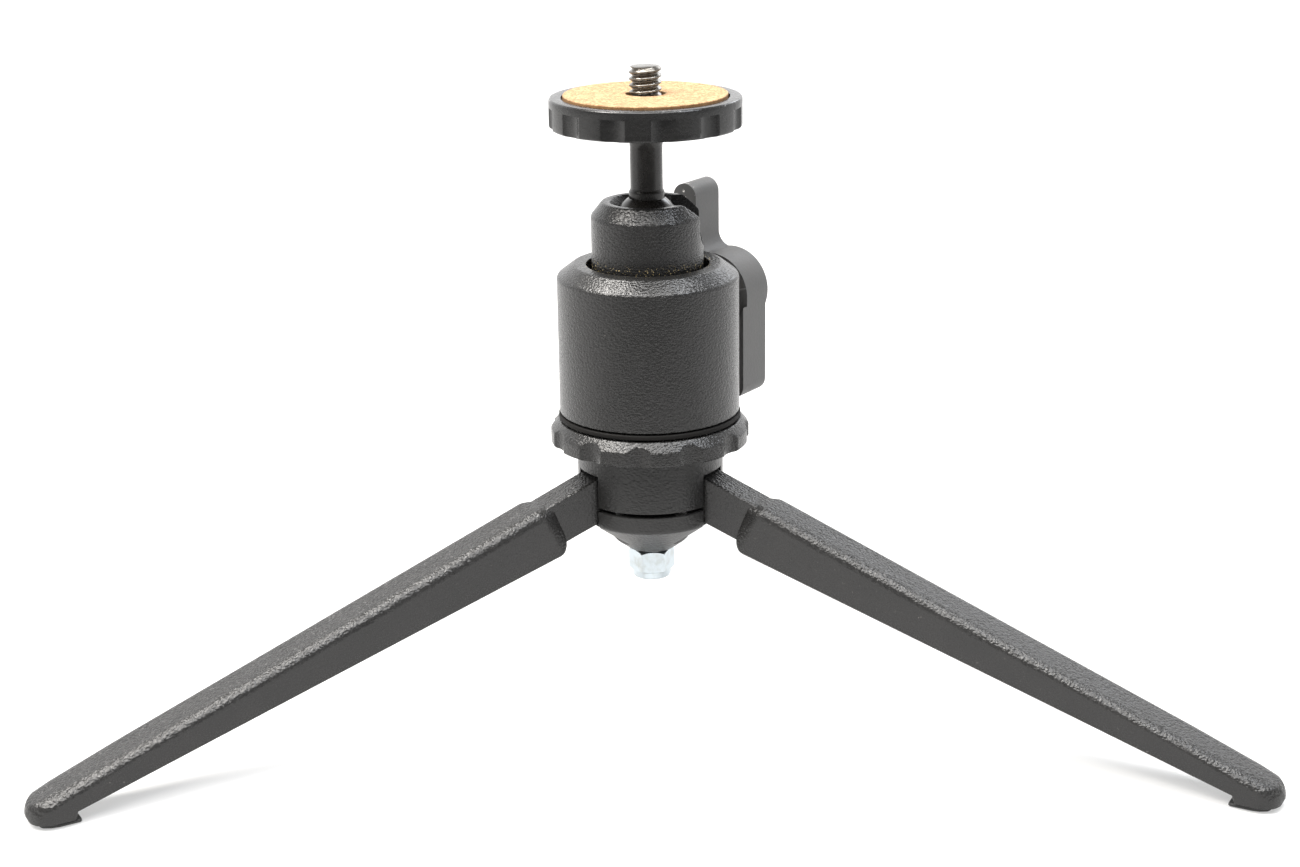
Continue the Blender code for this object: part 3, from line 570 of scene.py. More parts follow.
def leg_bar():
    """The bar from its shoulder, which swells out of the root, to the tip over the shoe."""
    corner = bow(SHOULDER_BOTTOM + SHOULDER_ROUND, LEG_BOTTOM + SHOULDER_ROUND, SHOULDER_ROUND,
                 -180.0, -90.0, SHOULDER_STEPS)
    shoulder = [on_leg(*point) for point in corner]
    ramp = [0.5 - 0.5 * math.cos(math.pi * step / SHOULDER_STEPS) for step in range(SHOULDER_STEPS + 1)]
    shoulder_tops = [on_leg(SHOULDER_TOP - 1.2 + 0.5 * step, ROOT_TOP + (LEG_TOP - ROOT_TOP) * rise)
                     for step, rise in enumerate(ramp)]
    narrower = [(LEG_WIDTH - ROOT_WIDTH - 0.3) * (1.0 - min(1.0, 0.16 * step))
                for step in range(SHOULDER_STEPS + 1)]
    heel = on_leg(HEEL_ALONG, LEG_BOTTOM + LEG_TAPER * (HEEL_ALONG - SHOULDER_TOP))
    tip = bow(FOOT_TIP - FOOT_ROUND, FOOT_CENTRE_HEIGHT, FOOT_ROUND,
              90.0 - math.degrees(LEG_SLOPE), -30.0, 16)
    bar_tops = along_path([shoulder_tops[-1], tip[0]], 30)
    bar_bottoms = along_path([shoulder[-1], heel], 30)
    tip_bottoms = along_path([heel, (heel[0] + 0.5, SOLE_HEIGHT), (FOOT_TIP - 1.6, SOLE_HEIGHT)], 16)
    stations = (list(zip(shoulder_tops, shoulder, narrower)) + list(zip(bar_tops, bar_bottoms))[1:]
                + list(zip(tip, tip_bottoms))[1:])
    return lofted(stations, LEG_WIDTH, FOOT_TIP, TOP_EDGE_ROUND, 0.5)


def leg_root():
    """The narrow root round the pivot; its flat top is the stop under the slot's roof."""
    stop_height = SLOT_ROOF - 0.4
    inside = SHOULDER_TOP + 6.0
    stop_rise = ROOT_TOP / math.cos(LEG_SLOPE) - (stop_height - PIVOT_HEIGHT)
    stop_end = PIVOT_FROM_AXIS + stop_rise / math.tan(LEG_SLOPE)
    side_view = ([on_leg(inside, ROOT_TOP), (stop_end, stop_height), (PIVOT_FROM_AXIS - 1.2, stop_height)]
                 + bow(PIVOT_FROM_AXIS, PIVOT_HEIGHT, 3.2, 165.0, 250.0, 10)
                 + [on_leg(3.0, ROOT_BOTTOM), on_leg(inside, ROOT_BOTTOM)])
    shape = slab(side_view, ROOT_WIDTH)
    soften(shape, 0.45, 3, 60.0, lambda x, y, z: abs(y) > 0.4 * ROOT_WIDTH and x > PIVOT_FROM_AXIS + 1.0)
    return shape


def leg_paint():
    """Pebbled on top, smoother on the flanks, with dust in patches; tops painted lighter as painted light.
    """
    finish = Finish("pebbled_black_leg")
    top = finish.facing_up().above(0.35, 0.5)
    blobs = finish.noise(0.52, 1.0, 0.5)
    grains = finish.noise(0.32, 1.0, 0.4)
    drift = finish.noise(7.0, 3.0, 0.55)
    colour = finish.mix(drift, grey(0.009), grey(0.017, 0.03))
    # painted light: up-facing faces are painted a touch lighter and more even in colour than the flanks
    colour = finish.mix(top * 0.5, colour, grey(0.014, 0.02))
    dust = finish.noise(0.8, 4.0, 0.7).above(0.70, 0.06) * finish.noise(11.0).above(0.52, 0.2)
    colour = finish.mix(dust * 0.30, colour, grey(0.4, 0.06))
    roughness = 0.17 + 0.05 * top + 0.12 * grains + 0.08 * drift
    pits = finish.cells(0.60)
    skin = finish.bump((blobs + 0.3 * grains - 0.45 * pits) * (0.22 + 0.78 * top), 0.22)
    return finish.surface(Base_Color=colour, Roughness=roughness, Normal=skin, Specular_IOR_Level=0.39)


def foot_rubber():
    finish = Finish("foot_rubber_black")
    grain = finish.noise(0.3, 3.0, 0.6)
    scuff = finish.noise(1.6, 4.0, 0.7)
    colour = finish.mix(scuff.above(0.6, 0.25) * 0.5, grey(0.014), grey(0.045, 0.05))
    return finish.surface(Base_Color=colour, Roughness=0.42 + 0.25 * scuff, Normal=finish.bump(grain, 0.02))


def foot_pad():
    """Rubber shoe: a thin flat sole under the tip, its toe turned up."""
    top = SOLE_HEIGHT - 0.12
    heel = [((SHOE_HEEL, top), (SHOE_HEEL, 0.2)), ((SHOE_HEEL + 0.2, top), (SHOE_HEEL + 0.2, 0.0))]
    sole = [((SHOE_HEEL + x, top), (SHOE_HEEL + x, 0.0)) for x in (2.1, 4.1, 5.5, 6.6)]
    toe = [((x + SHOE_TOE_ROUND, top), (x, z))
           for x, z in bow(FOOT_TIP - 2.3, SHOE_TOE_ROUND, SHOE_TOE_ROUND, -80.0, -20.0, 4)]
    return lofted(heel + sole + toe, LEG_WIDTH - 1.2, FOOT_TIP - 1.0, 0.05, 0.2)


leg_skin = leg_paint()
shoe_rubber = foot_rubber()
leg = carved(leg_bar(), leg_root(), "UNION")
shoe = foot_pad()
for side, azimuth in LEG_AZIMUTHS.items():
    body = "leg_" + side
    finished("leg_bar_" + side, rotated(leg.copy(), azimuth, "Z"), leg_skin, body,
             "leg_" + side, 38.0)
    finished("foot_shoe_" + side, rotated(shoe.copy(), azimuth, "Z"), shoe_rubber, body,
             "foot_pad_" + side, 38.0)
leg.free()
shoe.free()

# ---------------------------------------------------------------------------------------------
# Lock ring and rubber pad. The ring is a thick knurled nut on the stud, painted like the head,
# with finger scallops round its rim. The rubber disc on it grips the head's base.
# ---------------------------------------------------------------------------------------------
_, RING_BOTTOM, RING_TOP = span("lock_ring")
RING_RADIUS = 19.67
RING_TOP_RADIUS = 18.1
RING_CHAMFER = 53.2
RING_SCALLOP_WIDTH = 5.1
RING_SCALLOP_DEPTH = 0.9
RING_FIRST_SCALLOP = -96.4
SCALLOPS = 12
STUD_CLEARANCE = 3.42
PAD_RADIUS, PAD_BOTTOM, PAD_TOP = span("rubber_pad")


def steps_between(start, end, count):
    """The points that cut a line into count equal steps, without its ends."""
    return [(start[0] + (end[0] - start[0]) * step / count, start[1] + (end[1] - start[1]) * step / count)
            for step in range(1, count)]


def scallop(shape, rim, first, width, depth, below):
    """Press finger scallops into a rim: vertices outside a scallop's circle move in to it."""
    radius = (0.25 * width * width + depth * depth) / (2.0 * depth)
    reach = rim - depth + radius
    pitch = 2.0 * math.pi / SCALLOPS
    for vert in shape.verts:
        if vert.co.z > below * MM:
            continue
        out = math.hypot(vert.co.x, vert.co.y) / MM
        angle = math.atan2(vert.co.y, vert.co.x) - math.radians(first)
        off = (angle + 0.5 * pitch) % pitch - 0.5 * pitch
        across = reach * math.sin(off)
        if abs(across) >= radius:
            continue
        limit = reach * math.cos(off) - math.sqrt(radius * radius - across * across)
        if 0.7 * rim < limit < out:
            vert.co.x *= limit / out
            vert.co.y *= limit / out


chamfer_foot = (RING_RADIUS, RING_CHAMFER)
chamfer_head = (RING_TOP_RADIUS, RING_TOP)
ring = turned([(STUD_CLEARANCE, RING_BOTTOM), (RING_RADIUS - 1.2, RING_BOTTOM),
               (RING_RADIUS, RING_BOTTOM, 0.35)]
              + steps_between((RING_RADIUS, RING_BOTTOM), chamfer_foot, 4)
              + [(*chamfer_foot, 0.3)] + steps_between(chamfer_foot, chamfer_head, 9)
              + [(*chamfer_head, 0.25), (STUD_CLEARANCE, RING_TOP)], 480)
scallop(ring, RING_RADIUS, RING_FIRST_SCALLOP, RING_SCALLOP_WIDTH, RING_SCALLOP_DEPTH, RING_TOP)
ring_paint = crackle_paint("crackle_black_ring", 0.010, 0.23, pebble=0.50, depth=0.13, sheen=0.40)
finished("lock_ring_knurled", ring, ring_paint, "ring", "lock_ring", 34.0)


def pad_rubber():
    finish = Finish("pad_rubber_black")
    grain = finish.noise(0.25, 3.0, 0.6)
    smear = finish.noise(3.0, 3.0, 0.6, (1.0, 1.0, 4.0))
    colour = finish.mix(smear, grey(0.004), grey(0.008, 0.10))
    return finish.surface(Base_Color=colour, Roughness=0.55 + 0.25 * smear, Normal=finish.bump(grain, 0.04),
                          Specular_IOR_Level=0.12)


pad = turned([(STUD_CLEARANCE, PAD_BOTTOM), (PAD_RADIUS, PAD_BOTTOM, 0.25), (PAD_RADIUS, PAD_TOP, 0.25),
              (STUD_CLEARANCE, PAD_TOP)], 160)
finished("grip_pad", pad, pad_rubber(), "ring", "rubber_pad")

# ---------------------------------------------------------------------------------------------
# Head body. A die-cast can with a chamfered shoulder, a mouth the collar turns in and a round
# boss at one side for the lever's shaft. Black crackle paint all over.
# ---------------------------------------------------------------------------------------------
_, BODY_BOTTOM, BODY_TOP = span("head_body")
BODY_RADIUS = 17.78
BODY_CHAMFER = 83.8
BODY_TOP_RADIUS = 14.58
BODY_MOUTH = 12.0
BODY_BORE = 15.3
BODY_ROOF = 81.9
LEVER_AZIMUTH = 56.0
LEVER_HEIGHT = 75.0
BOSS_RADIUS = 7.25
BOSS_END = 22.6
BOSS_BORE = 3.7


def laid(shape):
    """A body made round the upright axis, laid along X."""
    return rotated(shape, 90.0, "Y")


def on_lever(shape):
    """Take a body made with its shaft along X to the lever's place."""
    return moved(rotated(shape, LEVER_AZIMUTH, "Z"), 0.0, 0.0, LEVER_HEIGHT)


body = turned([(BODY_BORE, BODY_BOTTOM), (BODY_RADIUS, BODY_BOTTOM, 0.3), (BODY_RADIUS, BODY_CHAMFER, 0.45),
               (BODY_TOP_RADIUS, BODY_TOP, 0.4), (BODY_MOUTH, BODY_TOP, 0.25), (BODY_MOUTH, BODY_ROOF),
               (BODY_BORE, BODY_ROOF)], 192)
boss = turned([(0.0, BODY_BORE + 0.5), (BOSS_RADIUS, BODY_BORE + 0.5), (BOSS_RADIUS, BOSS_END, 0.3),
               (0.0, BOSS_END)], 96)
bore = turned([(0.0, 9.0), (BOSS_BORE, 9.0), (BOSS_BORE, 26.0), (0.0, 26.0)], 48)
body = carved(carved(body, on_lever(laid(boss)), "UNION"), on_lever(laid(bore)))


def mouth_dust(finish):
    """Crumbs of dust caught where the collar stands in the head's mouth."""
    x, y, z = finish.xyz()
    return (1.0 - x.hypot(y).above(BODY_MOUTH + 0.5, 0.8)) * z.above(BODY_TOP - 1.2, 1.0)


body_paint = crackle_paint("crackle_black_body", 0.009, 0.23, pebble=0.50, depth=0.115, sheen=0.42,
                           dust_mask=mouth_dust)
finished("head_body_casting", body, body_paint, "head", "head_body")

kept("base_plug", plated_steel("turned_aluminium", (0.60, 0.60, 0.61), 0.38))
kept("lever_washer", plain_plastic("washer_nylon_black", (0.05, 0.05, 0.05), 0.5))
kept("lever_shaft", plated_steel("shaft_steel_bright", (0.56, 0.56, 0.55), 0.3))
kept("thrust_block", plated_steel("thrust_steel_bright", (0.5, 0.5, 0.5), 0.35))
kept("ball_cup", plain_plastic("cup_nylon_natural", (0.72, 0.70, 0.64), 0.45))

# ---------------------------------------------------------------------------------------------
# Lock lever. A round die-cast boss with an arm up on one side and an arm down on the other, in
# smoother satin black, chipped to bare metal on the arm's edge. A screw holds it to the shaft.
# ---------------------------------------------------------------------------------------------
LEVER_BOSS_INNER = 23.5
LEVER_ARM_INNER = 22.0
LEVER_ARM_OUTER = 30.7
LEVER_BOSS_OUTER = 32.3
LEVER_BOSS_RADIUS = 8.3
LEVER_ARM_WIDTH = 5.4
LEVER_UP = 22.3
LEVER_DOWN = 21.2
LEVER_RECESS = 2.6
LEVER_FILLET = 3.2
LEVER_FLOOR = LEVER_BOSS_OUTER - LEVER_RECESS
LEVER_SCREW_RADIUS = 4.0
SOCKET_FLATS = 1.35 * math.sqrt(3.0)
SHAFT_HOLE = 2.5


def disc(radius, inner, outer, sides):
    """A plain disc along X between two distances from the axis."""
    return laid(turned([(0.0, inner), (radius, inner), (radius, outer), (0.0, outer)], sides))


def lever_arm(reach, turn):
    """An arm tangent to the boss with a round tip and a fillet where it leaves the boss.

    It comes nearer the head than the boss does, and is hollowed round the boss's inner face.
    """
    tip = 0.5 * LEVER_ARM_WIDTH
    middle = LEVER_BOSS_RADIUS - tip
    fillet_x = middle - tip - LEVER_FILLET
    fillet_z = math.sqrt((LEVER_BOSS_RADIUS + LEVER_FILLET) ** 2 - fillet_x ** 2)
    fillet_end = math.degrees(math.atan2(-fillet_z, -fillet_x))
    outline = ([(LEVER_BOSS_RADIUS, 0.0)] + bow(middle, reach - tip, tip, 0.0, 180.0, 14)
               + bow(fillet_x, fillet_z, LEVER_FILLET, 0.0, fillet_end, 10) + [(0.0, 0.0)])
    shape = rotated(slab(outline, LEVER_ARM_OUTER - LEVER_ARM_INNER), turn, "Y")
    bmesh.ops.scale(rotated(shape, 90.0, "Z"), vec=(-1.0, 1.0, 1.0), verts=shape.verts)
    moved(shape, 0.5 * (LEVER_ARM_OUTER + LEVER_ARM_INNER), 0.0, 0.0)
    return carved(shape, disc(LEVER_BOSS_RADIUS + 0.2, LEVER_ARM_INNER - 1.0, LEVER_BOSS_INNER, 96))


lever = laid(turned([(SHAFT_HOLE, LEVER_BOSS_INNER), (LEVER_BOSS_RADIUS, LEVER_BOSS_INNER),
                     (LEVER_BOSS_RADIUS, LEVER_BOSS_OUTER, 0.9), (SHAFT_HOLE, LEVER_BOSS_OUTER)], 128))
for reach, turn in ((LEVER_UP, 0.0), (LEVER_DOWN, 180.0)):
    lever = carved(lever, lever_arm(reach, turn), "UNION")
lever = carved(lever, disc(LEVER_SCREW_RADIUS + 0.3, LEVER_FLOOR, LEVER_BOSS_OUTER + 1.0, 64))
lever = carved(lever, disc(SHAFT_HOLE, LEVER_BOSS_INNER - 1.0, LEVER_BOSS_OUTER, 48))
soften(lever, 0.5, 3, 60.0, lambda x, y, z: math.hypot(y, z) > LEVER_BOSS_RADIUS - 0.6 and abs(z) > 2.0)


def lever_paint():
    """Smoother than the head's paint, chipped to bright metal at the upper arm's inner edge."""
    finish = Finish("satin_black_lever")
    x, y, z = finish.xyz()
    grain = finish.noise(0.5, 1.0, 0.5)
    drift = finish.noise(5.0, 3.0, 0.55)
    colour = finish.mix(drift, grey(0.045), grey(0.068, 0.02))
    turn = math.radians(LEVER_AZIMUTH)
    inner_edge = 1.0 - (x * math.cos(turn) + y * math.sin(turn)).above(LEVER_ARM_INNER + 0.9, 0.8)
    tip = z.above(LEVER_HEIGHT + 14.5, 2.5) * inner_edge
    chips = finish.noise(1.0, 4.0, 0.7).above(0.64, 0.03) * tip
    colour = finish.mix(chips, colour, (0.62, 0.60, 0.57, 1.0))
    normal = finish.bump(grain - 1.5 * chips, 0.03)
    return finish.surface(Base_Color=colour, Roughness=0.40 + 0.14 * grain + 0.08 * drift - 0.1 * chips,
                          Metallic=chips, Normal=normal)


finished("lock_lever_casting", on_lever(lever), lever_paint(), "lever", "lock_lever", 40.0)

button_top = LEVER_BOSS_OUTER - 0.5
button = laid(turned([(0.0, LEVER_FLOOR + 0.3), (LEVER_SCREW_RADIUS, LEVER_FLOOR + 0.3),
                      (LEVER_SCREW_RADIUS, button_top - 0.8, 0.3),
                      (0.7 * LEVER_SCREW_RADIUS, button_top, 0.3), (0.0, button_top)], 64))
button = carved(button, laid(hexagon(SOCKET_FLATS, 3.0, button_top + 0.3)))
black_steel = plated_steel("blackened_steel", (0.13, 0.13, 0.13), 0.32)
finished("lever_screw_button", on_lever(button), black_steel, "lever", "lever_screw")

# ---------------------------------------------------------------------------------------------
# Ball collar. A die-cast sleeve that pans in the head's mouth; its countersunk lip holds the
# ball and a notch at one side lets the stem drop level. Crackle paint, sparkling on the chamfer.
# ---------------------------------------------------------------------------------------------
BALL_RADIUS, BALL_BOTTOM, STEM_TOP = span("ball_stem")
BALL_HEIGHT = BALL_BOTTOM + BALL_RADIUS
COLLAR_FLANGE, COLLAR_BOTTOM, COLLAR_TOP = span("ball_collar")
COLLAR_RADIUS = 10.9
COLLAR_RIM = 8.72
COLLAR_MOUTH = 7.2
COLLAR_LIP = 96.3
COLLAR_CHAMFER = 95.7
COLLAR_BORE = 7.4
COLLAR_FLANGE_TOP = 81.6
COLLAR_SEAT_BOTTOM = 92.6
NOTCH_HALF = 4.0
NOTCH_MOUTH_HALF = 5.8
NOTCH_INNER = 3.5
NOTCH_OUTER = 14.0

seat = BALL_RADIUS + 0.3
seat_arc = bow(0.0, BALL_HEIGHT, seat, math.degrees(math.asin((COLLAR_LIP - BALL_HEIGHT) / seat)),
               math.degrees(math.asin((COLLAR_SEAT_BOTTOM - BALL_HEIGHT) / seat)), 10)
collar = turned([(COLLAR_BORE, COLLAR_BOTTOM), (COLLAR_FLANGE, COLLAR_BOTTOM),
                 (COLLAR_FLANGE, COLLAR_FLANGE_TOP), (COLLAR_RADIUS, COLLAR_FLANGE_TOP),
                 (COLLAR_RADIUS, COLLAR_CHAMFER, 0.4),
                 (COLLAR_RIM, COLLAR_TOP, 0.3), (COLLAR_MOUTH, COLLAR_TOP, 0.3)]
                + seat_arc + [(COLLAR_BORE, COLLAR_SEAT_BOTTOM - 0.5)], 160)
notch_top = COLLAR_TOP + 1.0
notch = slab([(NOTCH_MOUTH_HALF, notch_top), (-NOTCH_MOUTH_HALF, notch_top), (-NOTCH_HALF, COLLAR_CHAMFER)]
             + bow(0.0, BALL_HEIGHT, NOTCH_HALF, 180.0, 360.0, 28) + [(NOTCH_HALF, COLLAR_CHAMFER)],
             NOTCH_OUTER - NOTCH_INNER)
collar = carved(collar, moved(rotated(notch, 90.0, "Z"), 0.5 * (NOTCH_INNER + NOTCH_OUTER), 0.0, 0.0))


def on_notch_edge(x, y, z):
    near = x > 4.5 and abs(y) < NOTCH_MOUTH_HALF + 0.4
    return near and math.hypot(x, y) > COLLAR_RIM + 0.08 and z > BALL_HEIGHT - NOTCH_HALF - 0.5


soften(collar, 0.3, 2, 55.0, on_notch_edge)


def collar_dust(finish):
    """The same crumbs on the collar's foot."""
    x, y, z = finish.xyz()
    return (1.0 - z.above(BODY_TOP + 1.2, 1.4)) * x.hypot(y).above(COLLAR_RADIUS - 0.3, 0.2)


collar_paint = crackle_paint("crackle_black_collar", 0.008, 0.23, pebble=0.50, depth=0.12, sheen=0.42,
                             dust_mask=collar_dust)
finished("ball_collar_sleeve", collar, collar_paint, "collar", "ball_collar")

# ---------------------------------------------------------------------------------------------
# Ball and stem. One turned piece in gloss black: the ball, a small step where it meets the
# neck, and a neck that widens a little under the platform.
# ---------------------------------------------------------------------------------------------
NECK_RADIUS = 3.15
NECK_FLARE = 3.8
NECK_TOP = 112.18
SPIGOT_RADIUS = 3.42
STEM_BORE = 1.9
STEM_BORE_BOTTOM = 111.5

step_radius = 1.1 * NECK_RADIUS
neck_angle = math.degrees(math.asin(step_radius / BALL_RADIUS))
ball_arc = bow(0.0, BALL_HEIGHT, BALL_RADIUS, -90.0, 90.0 - neck_angle, 48)
ball_arc[0] = (0.0, BALL_BOTTOM)
step_height = ball_arc[-1][1]
stem = turned(ball_arc + [(step_radius, step_height + 1.3, 0.2), (NECK_RADIUS, step_height + 1.7, 0.2),
                          (NECK_RADIUS, NECK_TOP - 2.38, 1.2), (NECK_FLARE, NECK_TOP - 0.28, 0.5),
                          (NECK_FLARE, NECK_TOP), (SPIGOT_RADIUS, NECK_TOP), (SPIGOT_RADIUS, STEM_TOP),
                          (STEM_BORE, STEM_TOP), (STEM_BORE, STEM_BORE_BOTTOM), (0.0, STEM_BORE_BOTTOM)], 96)


def gloss_black():
    """Smooth enamel with wiped patches and hairline scratches down the neck."""
    finish = Finish("stem_gloss_black_enamel")
    wipe = finish.noise(2.2, 4.0, 0.65, (1.0, 1.0, 0.5))
    scratch = finish.noise(0.14, 2.0, 0.5, (0.2, 0.2, 3.0))
    colour = finish.mix(wipe, grey(0.005), grey(0.014, 0.15))
    return finish.surface(Base_Color=colour, Roughness=0.14 + 0.16 * wipe.above(0.5, 0.4) + 0.06 * scratch,
                          Coat_Weight=0.2 * (1.0 - wipe), Coat_Roughness=0.08, Specular_IOR_Level=0.30,
                          Normal=finish.bump(scratch, 0.003))


finished("ball_and_neck", stem, gloss_black(), "ball", "ball_stem", 40.0)

# ---------------------------------------------------------------------------------------------
# Camera platform. A turned dish with a scalloped rim, painted satin black and rubbed bright
# along its upper edge where cameras have been screwed down.
# ---------------------------------------------------------------------------------------------
PLATFORM_RADIUS, PLATFORM_HUB_BOTTOM, PLATFORM_TOP = span("camera_platform")
PLATFORM_BOTTOM = PLATFORM_HUB_BOTTOM + 0.6
PLATFORM_RECESS = 117.1
PLATFORM_EDGE = 0.5
PLATFORM_SCALLOP_WIDTH = 5.3
PLATFORM_SCALLOP_DEPTH = 0.75
PLATFORM_SCALLOP_TOP = 116.9
PLATFORM_FIRST_SCALLOP = -79.7
CORK_RADIUS, CORK_BOTTOM, CORK_TOP = span("cork_pad")
RECESS_RADIUS = CORK_RADIUS + 0.3
PLATFORM_HOLE = 3.45

rim_sides = steps_between((PLATFORM_RADIUS, PLATFORM_BOTTOM + PLATFORM_EDGE),
                          (PLATFORM_RADIUS, PLATFORM_SCALLOP_TOP), 4)
platform = turned([(PLATFORM_HOLE, PLATFORM_HUB_BOTTOM), (PLATFORM_HOLE + 1.2, PLATFORM_HUB_BOTTOM, 0.2),
                   (PLATFORM_HOLE + 1.8, PLATFORM_BOTTOM, 0.2),
                   (PLATFORM_RADIUS, PLATFORM_BOTTOM, PLATFORM_EDGE)]
                  + rim_sides
                  + [(PLATFORM_RADIUS, PLATFORM_SCALLOP_TOP - 0.02),
                     (PLATFORM_RADIUS, PLATFORM_SCALLOP_TOP + 0.06),
                     (PLATFORM_RADIUS, PLATFORM_TOP, PLATFORM_EDGE), (RECESS_RADIUS, PLATFORM_TOP, 0.15),
                     (RECESS_RADIUS, PLATFORM_RECESS), (PLATFORM_HOLE, PLATFORM_RECESS)], 480)
scallop(platform, PLATFORM_RADIUS, PLATFORM_FIRST_SCALLOP, PLATFORM_SCALLOP_WIDTH, PLATFORM_SCALLOP_DEPTH,
        PLATFORM_SCALLOP_TOP)


def rubbed_rim(finish):
    """Worn along the rim's upper outer edge, in uneven patches."""
    x, y, z = finish.xyz()
    edge = x.hypot(y).above(PLATFORM_RADIUS - 0.38, 0.16) * z.above(PLATFORM_TOP - 0.38, 0.16)
    return edge * finish.noise(2.6, 4.0, 0.7).above(0.61, 0.10)


platform_paint = crackle_paint("satin_black_platform", 0.008, 0.20, pebble=0.9, depth=0.03, sheen=0.38,
                               wear=rubbed_rim)
finished("camera_platform_dish", platform, platform_paint, "platform",
         "camera_platform", 20.0)

# ---------------------------------------------------------------------------------------------
# Cork pad. Pressed cork granules cut to a washer and glued in the dish; the side is painted
# darker than the top, as painted shade.
# ---------------------------------------------------------------------------------------------
CORK_HOLE = 3.8
GRANULE = 0.75

cork = turned([(CORK_HOLE, CORK_BOTTOM), (CORK_RADIUS, CORK_BOTTOM), (CORK_RADIUS, CORK_TOP, 0.2),
               (CORK_HOLE, CORK_TOP, 0.15)], 192)


def pressed_cork():
    """Granules of two tones with darker seams and pores, and the side painted darker as painted shade."""
    finish = Finish("pressed_cork")
    x, y, z = finish.xyz()
    tone = finish.node("SeparateColor", {}, {0: finish.cells(GRANULE, "F1", "Color")})
    seam = 1.0 - finish.cells(GRANULE, "DISTANCE_TO_EDGE").above(0.06, 0.10)
    pores = finish.noise(0.45, 2.0, 0.6)
    colour = finish.mix(tone, (0.22, 0.135, 0.066, 1.0), (0.39, 0.255, 0.132, 1.0))
    colour = finish.mix(pores.above(0.54, 0.12) * 0.8, colour, (0.15, 0.075, 0.028, 1.0))
    colour = finish.mix(seam * 0.35, colour, (0.32, 0.19, 0.08, 1.0))
    # painted shade: the cork's side, below its top edge, is painted darker than the top
    side = 1.0 - z.above(CORK_TOP - 0.2, 0.15)
    colour = finish.mix(side * 0.8, colour, (0.16, 0.075, 0.02, 1.0))
    skin = finish.bump(pores - 0.5 * seam, 0.05)
    return finish.surface(Base_Color=colour, Roughness=0.82 + 0.12 * pores, Normal=skin)


finished("cork_washer", cork, pressed_cork(), "platform", "cork_pad")

# ---------------------------------------------------------------------------------------------
# Camera screw. A 1/4-20 steel screw with a rolled right-hand thread, held in the stem's bore,
# with a collar that stands under the cork's level.
# ---------------------------------------------------------------------------------------------
SCREW_COLLAR, SCREW_BOTTOM, SCREW_TOP = span("camera_screw")
SCREW_MAJOR = 3.12
SCREW_MINOR = 2.48
SCREW_PITCH = 1.27
SCREW_COLLAR_TOP = 118.3
SHANK_RADIUS = STEM_BORE - 0.3
THREAD_STEPS = 96

thread_foot = (SCREW_MAJOR, SCREW_COLLAR_TOP + 0.05)
thread_head = (SCREW_MAJOR, SCREW_TOP - 0.12)
screw = turned([(0.0, SCREW_BOTTOM), (SHANK_RADIUS, SCREW_BOTTOM), (SHANK_RADIUS, CORK_BOTTOM),
                (SCREW_COLLAR, CORK_BOTTOM), (SCREW_COLLAR, SCREW_COLLAR_TOP, 0.2), thread_foot]
               + steps_between(thread_foot, thread_head, THREAD_STEPS)
               + [thread_head, (SCREW_MINOR - 0.3, SCREW_TOP), (0.0, SCREW_TOP)], 72)


def roll_thread(shape):
    """Press the thread's groove into the screw's cylinder, fading out at both ends."""
    start = SCREW_COLLAR_TOP + 0.1
    for vert in shape.verts:
        out = math.hypot(vert.co.x, vert.co.y) / MM
        height = vert.co.z / MM
        if out < SCREW_MAJOR - 0.02 or out > SCREW_MAJOR + 0.02 or height < start:
            continue
        phase = (height / SCREW_PITCH - math.atan2(vert.co.y, vert.co.x) / (2.0 * math.pi)) % 1.0
        flank = min(1.0, max(0.0, 2.9 * abs(phase - 0.5) - 0.28))
        crest = min(SCREW_MAJOR, SCREW_MINOR + 1.3 * (SCREW_TOP - height) ** 0.8 + 0.1)
        limit = min(crest, SCREW_MINOR + (SCREW_MAJOR - SCREW_MINOR) * (1.0 - flank))
        vert.co.x *= limit / out
        vert.co.y *= limit / out


roll_thread(screw)
screw_steel = plated_steel("screw_steel_warm", (0.19, 0.18, 0.165), 0.24)
finished("camera_screw_thread", screw, screw_steel, "platform", "camera_screw", 50.0)

# ---------------------------------------------------------------------------------------------
# Floor and light. A white floor under a large overhead sheet; boxes at the back and sides light
# the chamfers, and a black card out of view in front keeps the upright faces dark.
# ---------------------------------------------------------------------------------------------
def staged(name, shape, height, material):
    """A level studio surface that isn't part of the object."""
    mesh = bpy.data.meshes.new(name)
    shape.to_mesh(mesh)
    shape.free()
    mesh.materials.append(material)
    thing = bpy.data.objects.new(name, mesh)
    bpy.context.collection.objects.link(thing)
    thing.location = (0.0, 0.0, cad_low.z + height)
    return thing


sweep = Finish("white_sweep")
floor_x, floor_y, _ = sweep.xyz()
far = floor_x.hypot(floor_y).above(1000.0, 1200.0)
floor_shape = bmesh.new()
bmesh.ops.create_circle(floor_shape, cap_ends=True, segments=96, radius=6.0)
staged("floor", floor_shape, -0.0002, sweep.surface(
    Base_Color=grey(0.34), Roughness=0.95, Specular_IOR_Level=0.0,
    Emission_Color=sweep.mix(far, (1.0, 1.0, 0.99, 1.0), grey(1.9)), Emission_Strength=0.55))

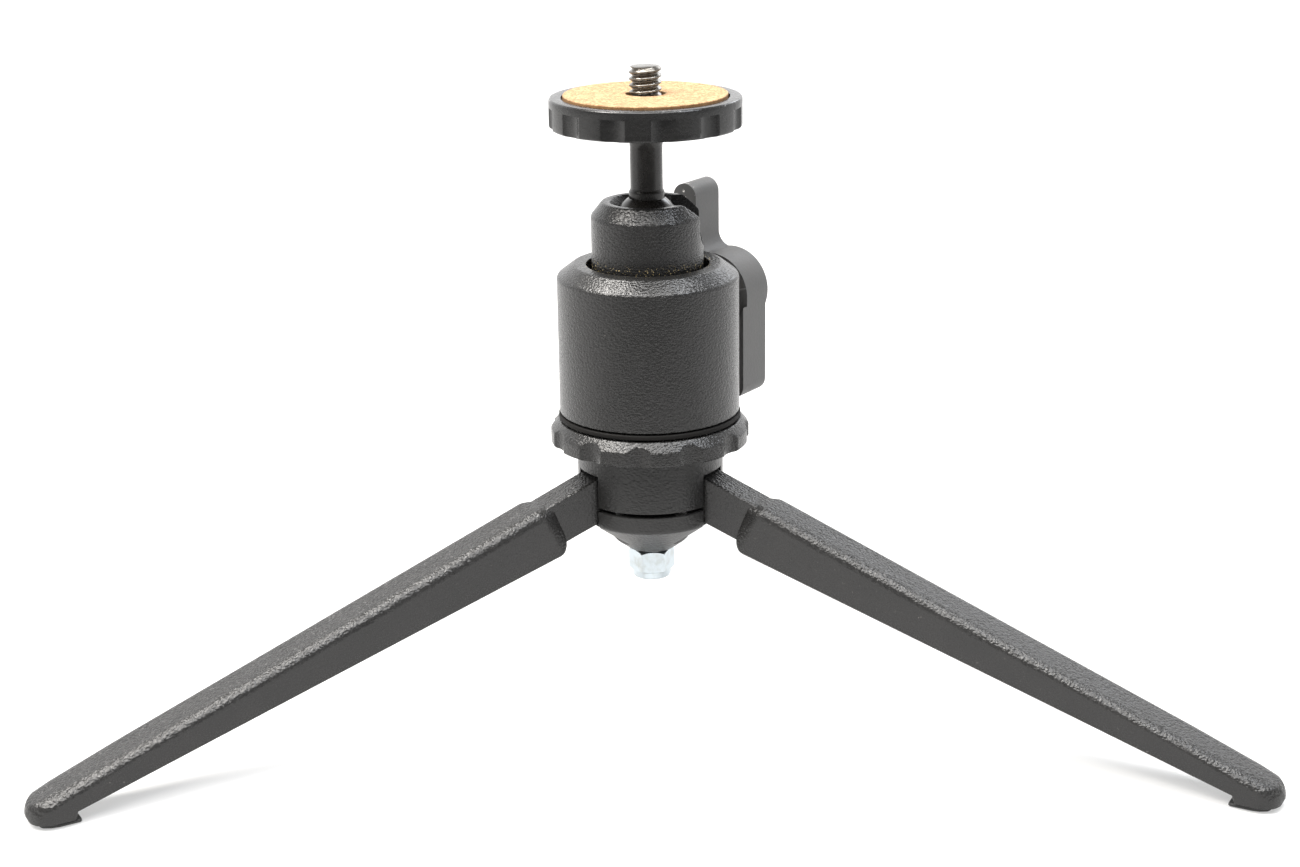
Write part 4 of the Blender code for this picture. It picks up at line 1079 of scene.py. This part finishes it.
card = bmesh.new()
bmesh.ops.create_grid(card, x_segments=1, y_segments=1, size=0.5)
flag = staged("black_flag", card, 0.001, Finish("flag_cloth").surface(Base_Color=grey(0.05), Roughness=0.9))
flag.location.y = AXIS_Y - 0.68
flag.visible_camera = False
flag.visible_diffuse = False
flag.visible_shadow = False

world = bpy.data.worlds.new("light_tent")
bpy.context.scene.world = world
tent = Tree(world)
_, backward, upward = tent.node("SeparateXYZ", {}, {0: tent.node("TexCoord", {}, {}, "Generated")}, None)
glow = upward.ramp(0.45, 0.72, 1.0, 0.12) * backward.ramp(-0.6, 0.8, 0.45, 2.0)
seen = tent.node("LightPath", {}, {}, "Is Camera Ray")
strength = glow.maths("MAXIMUM", glow, seen)
tent.wire_up(tent.nodes["Background"].inputs, {"Color": grey(1.0), "Strength": strength})


def soft_box(name, size, power, colour, place, aim):
    """A rectangular light at a place, pointed at another."""
    data = bpy.data.lights.new(name, "AREA")
    data.shape = "RECTANGLE"
    data.size, data.size_y = size
    data.energy = power
    data.color = colour
    light = bpy.data.objects.new(name, data)
    bpy.context.collection.objects.link(light)
    light.location = place
    light.rotation_euler = (Vector(aim) - Vector(place)).to_track_quat("-Z", "Y").to_euler()


WARM = (1.0, 0.965, 0.92)
COOL = (0.90, 0.94, 1.0)
HEAD = (0.0, AXIS_Y, 0.08)
soft_box("overhead_sheet", (1.15, 0.95), 36.0, (1.0, 0.99, 0.98), (0.0, -0.30, 1.20), (0.0, -0.30, 0.0))
soft_box("warm_box", (0.30, 0.40), 18.0, WARM, (-0.46, 0.12, 1.16), HEAD)
soft_box("warm_side_box", (0.46, 0.46), 24.0, WARM, (-0.84, -0.42, 1.10), HEAD)
soft_box("cool_box", (0.26, 0.26), 4.0, COOL, (0.46, 0.12, 1.16), HEAD)
soft_box("cool_side_box", (0.36, 0.36), 8.0, COOL, (0.84, -0.42, 1.10), HEAD)
soft_box("front_box", (0.50, 0.30), 8.0, (1.0, 0.98, 0.96), (-0.12, -0.92, 1.10), HEAD)
soft_box("back_box", (0.34, 0.34), 1.8, COOL, (0.55, 0.95, 0.66), HEAD)
bpy.context.scene.view_settings.view_transform = "Standard"
bpy.context.scene.view_settings.exposure = -0.22
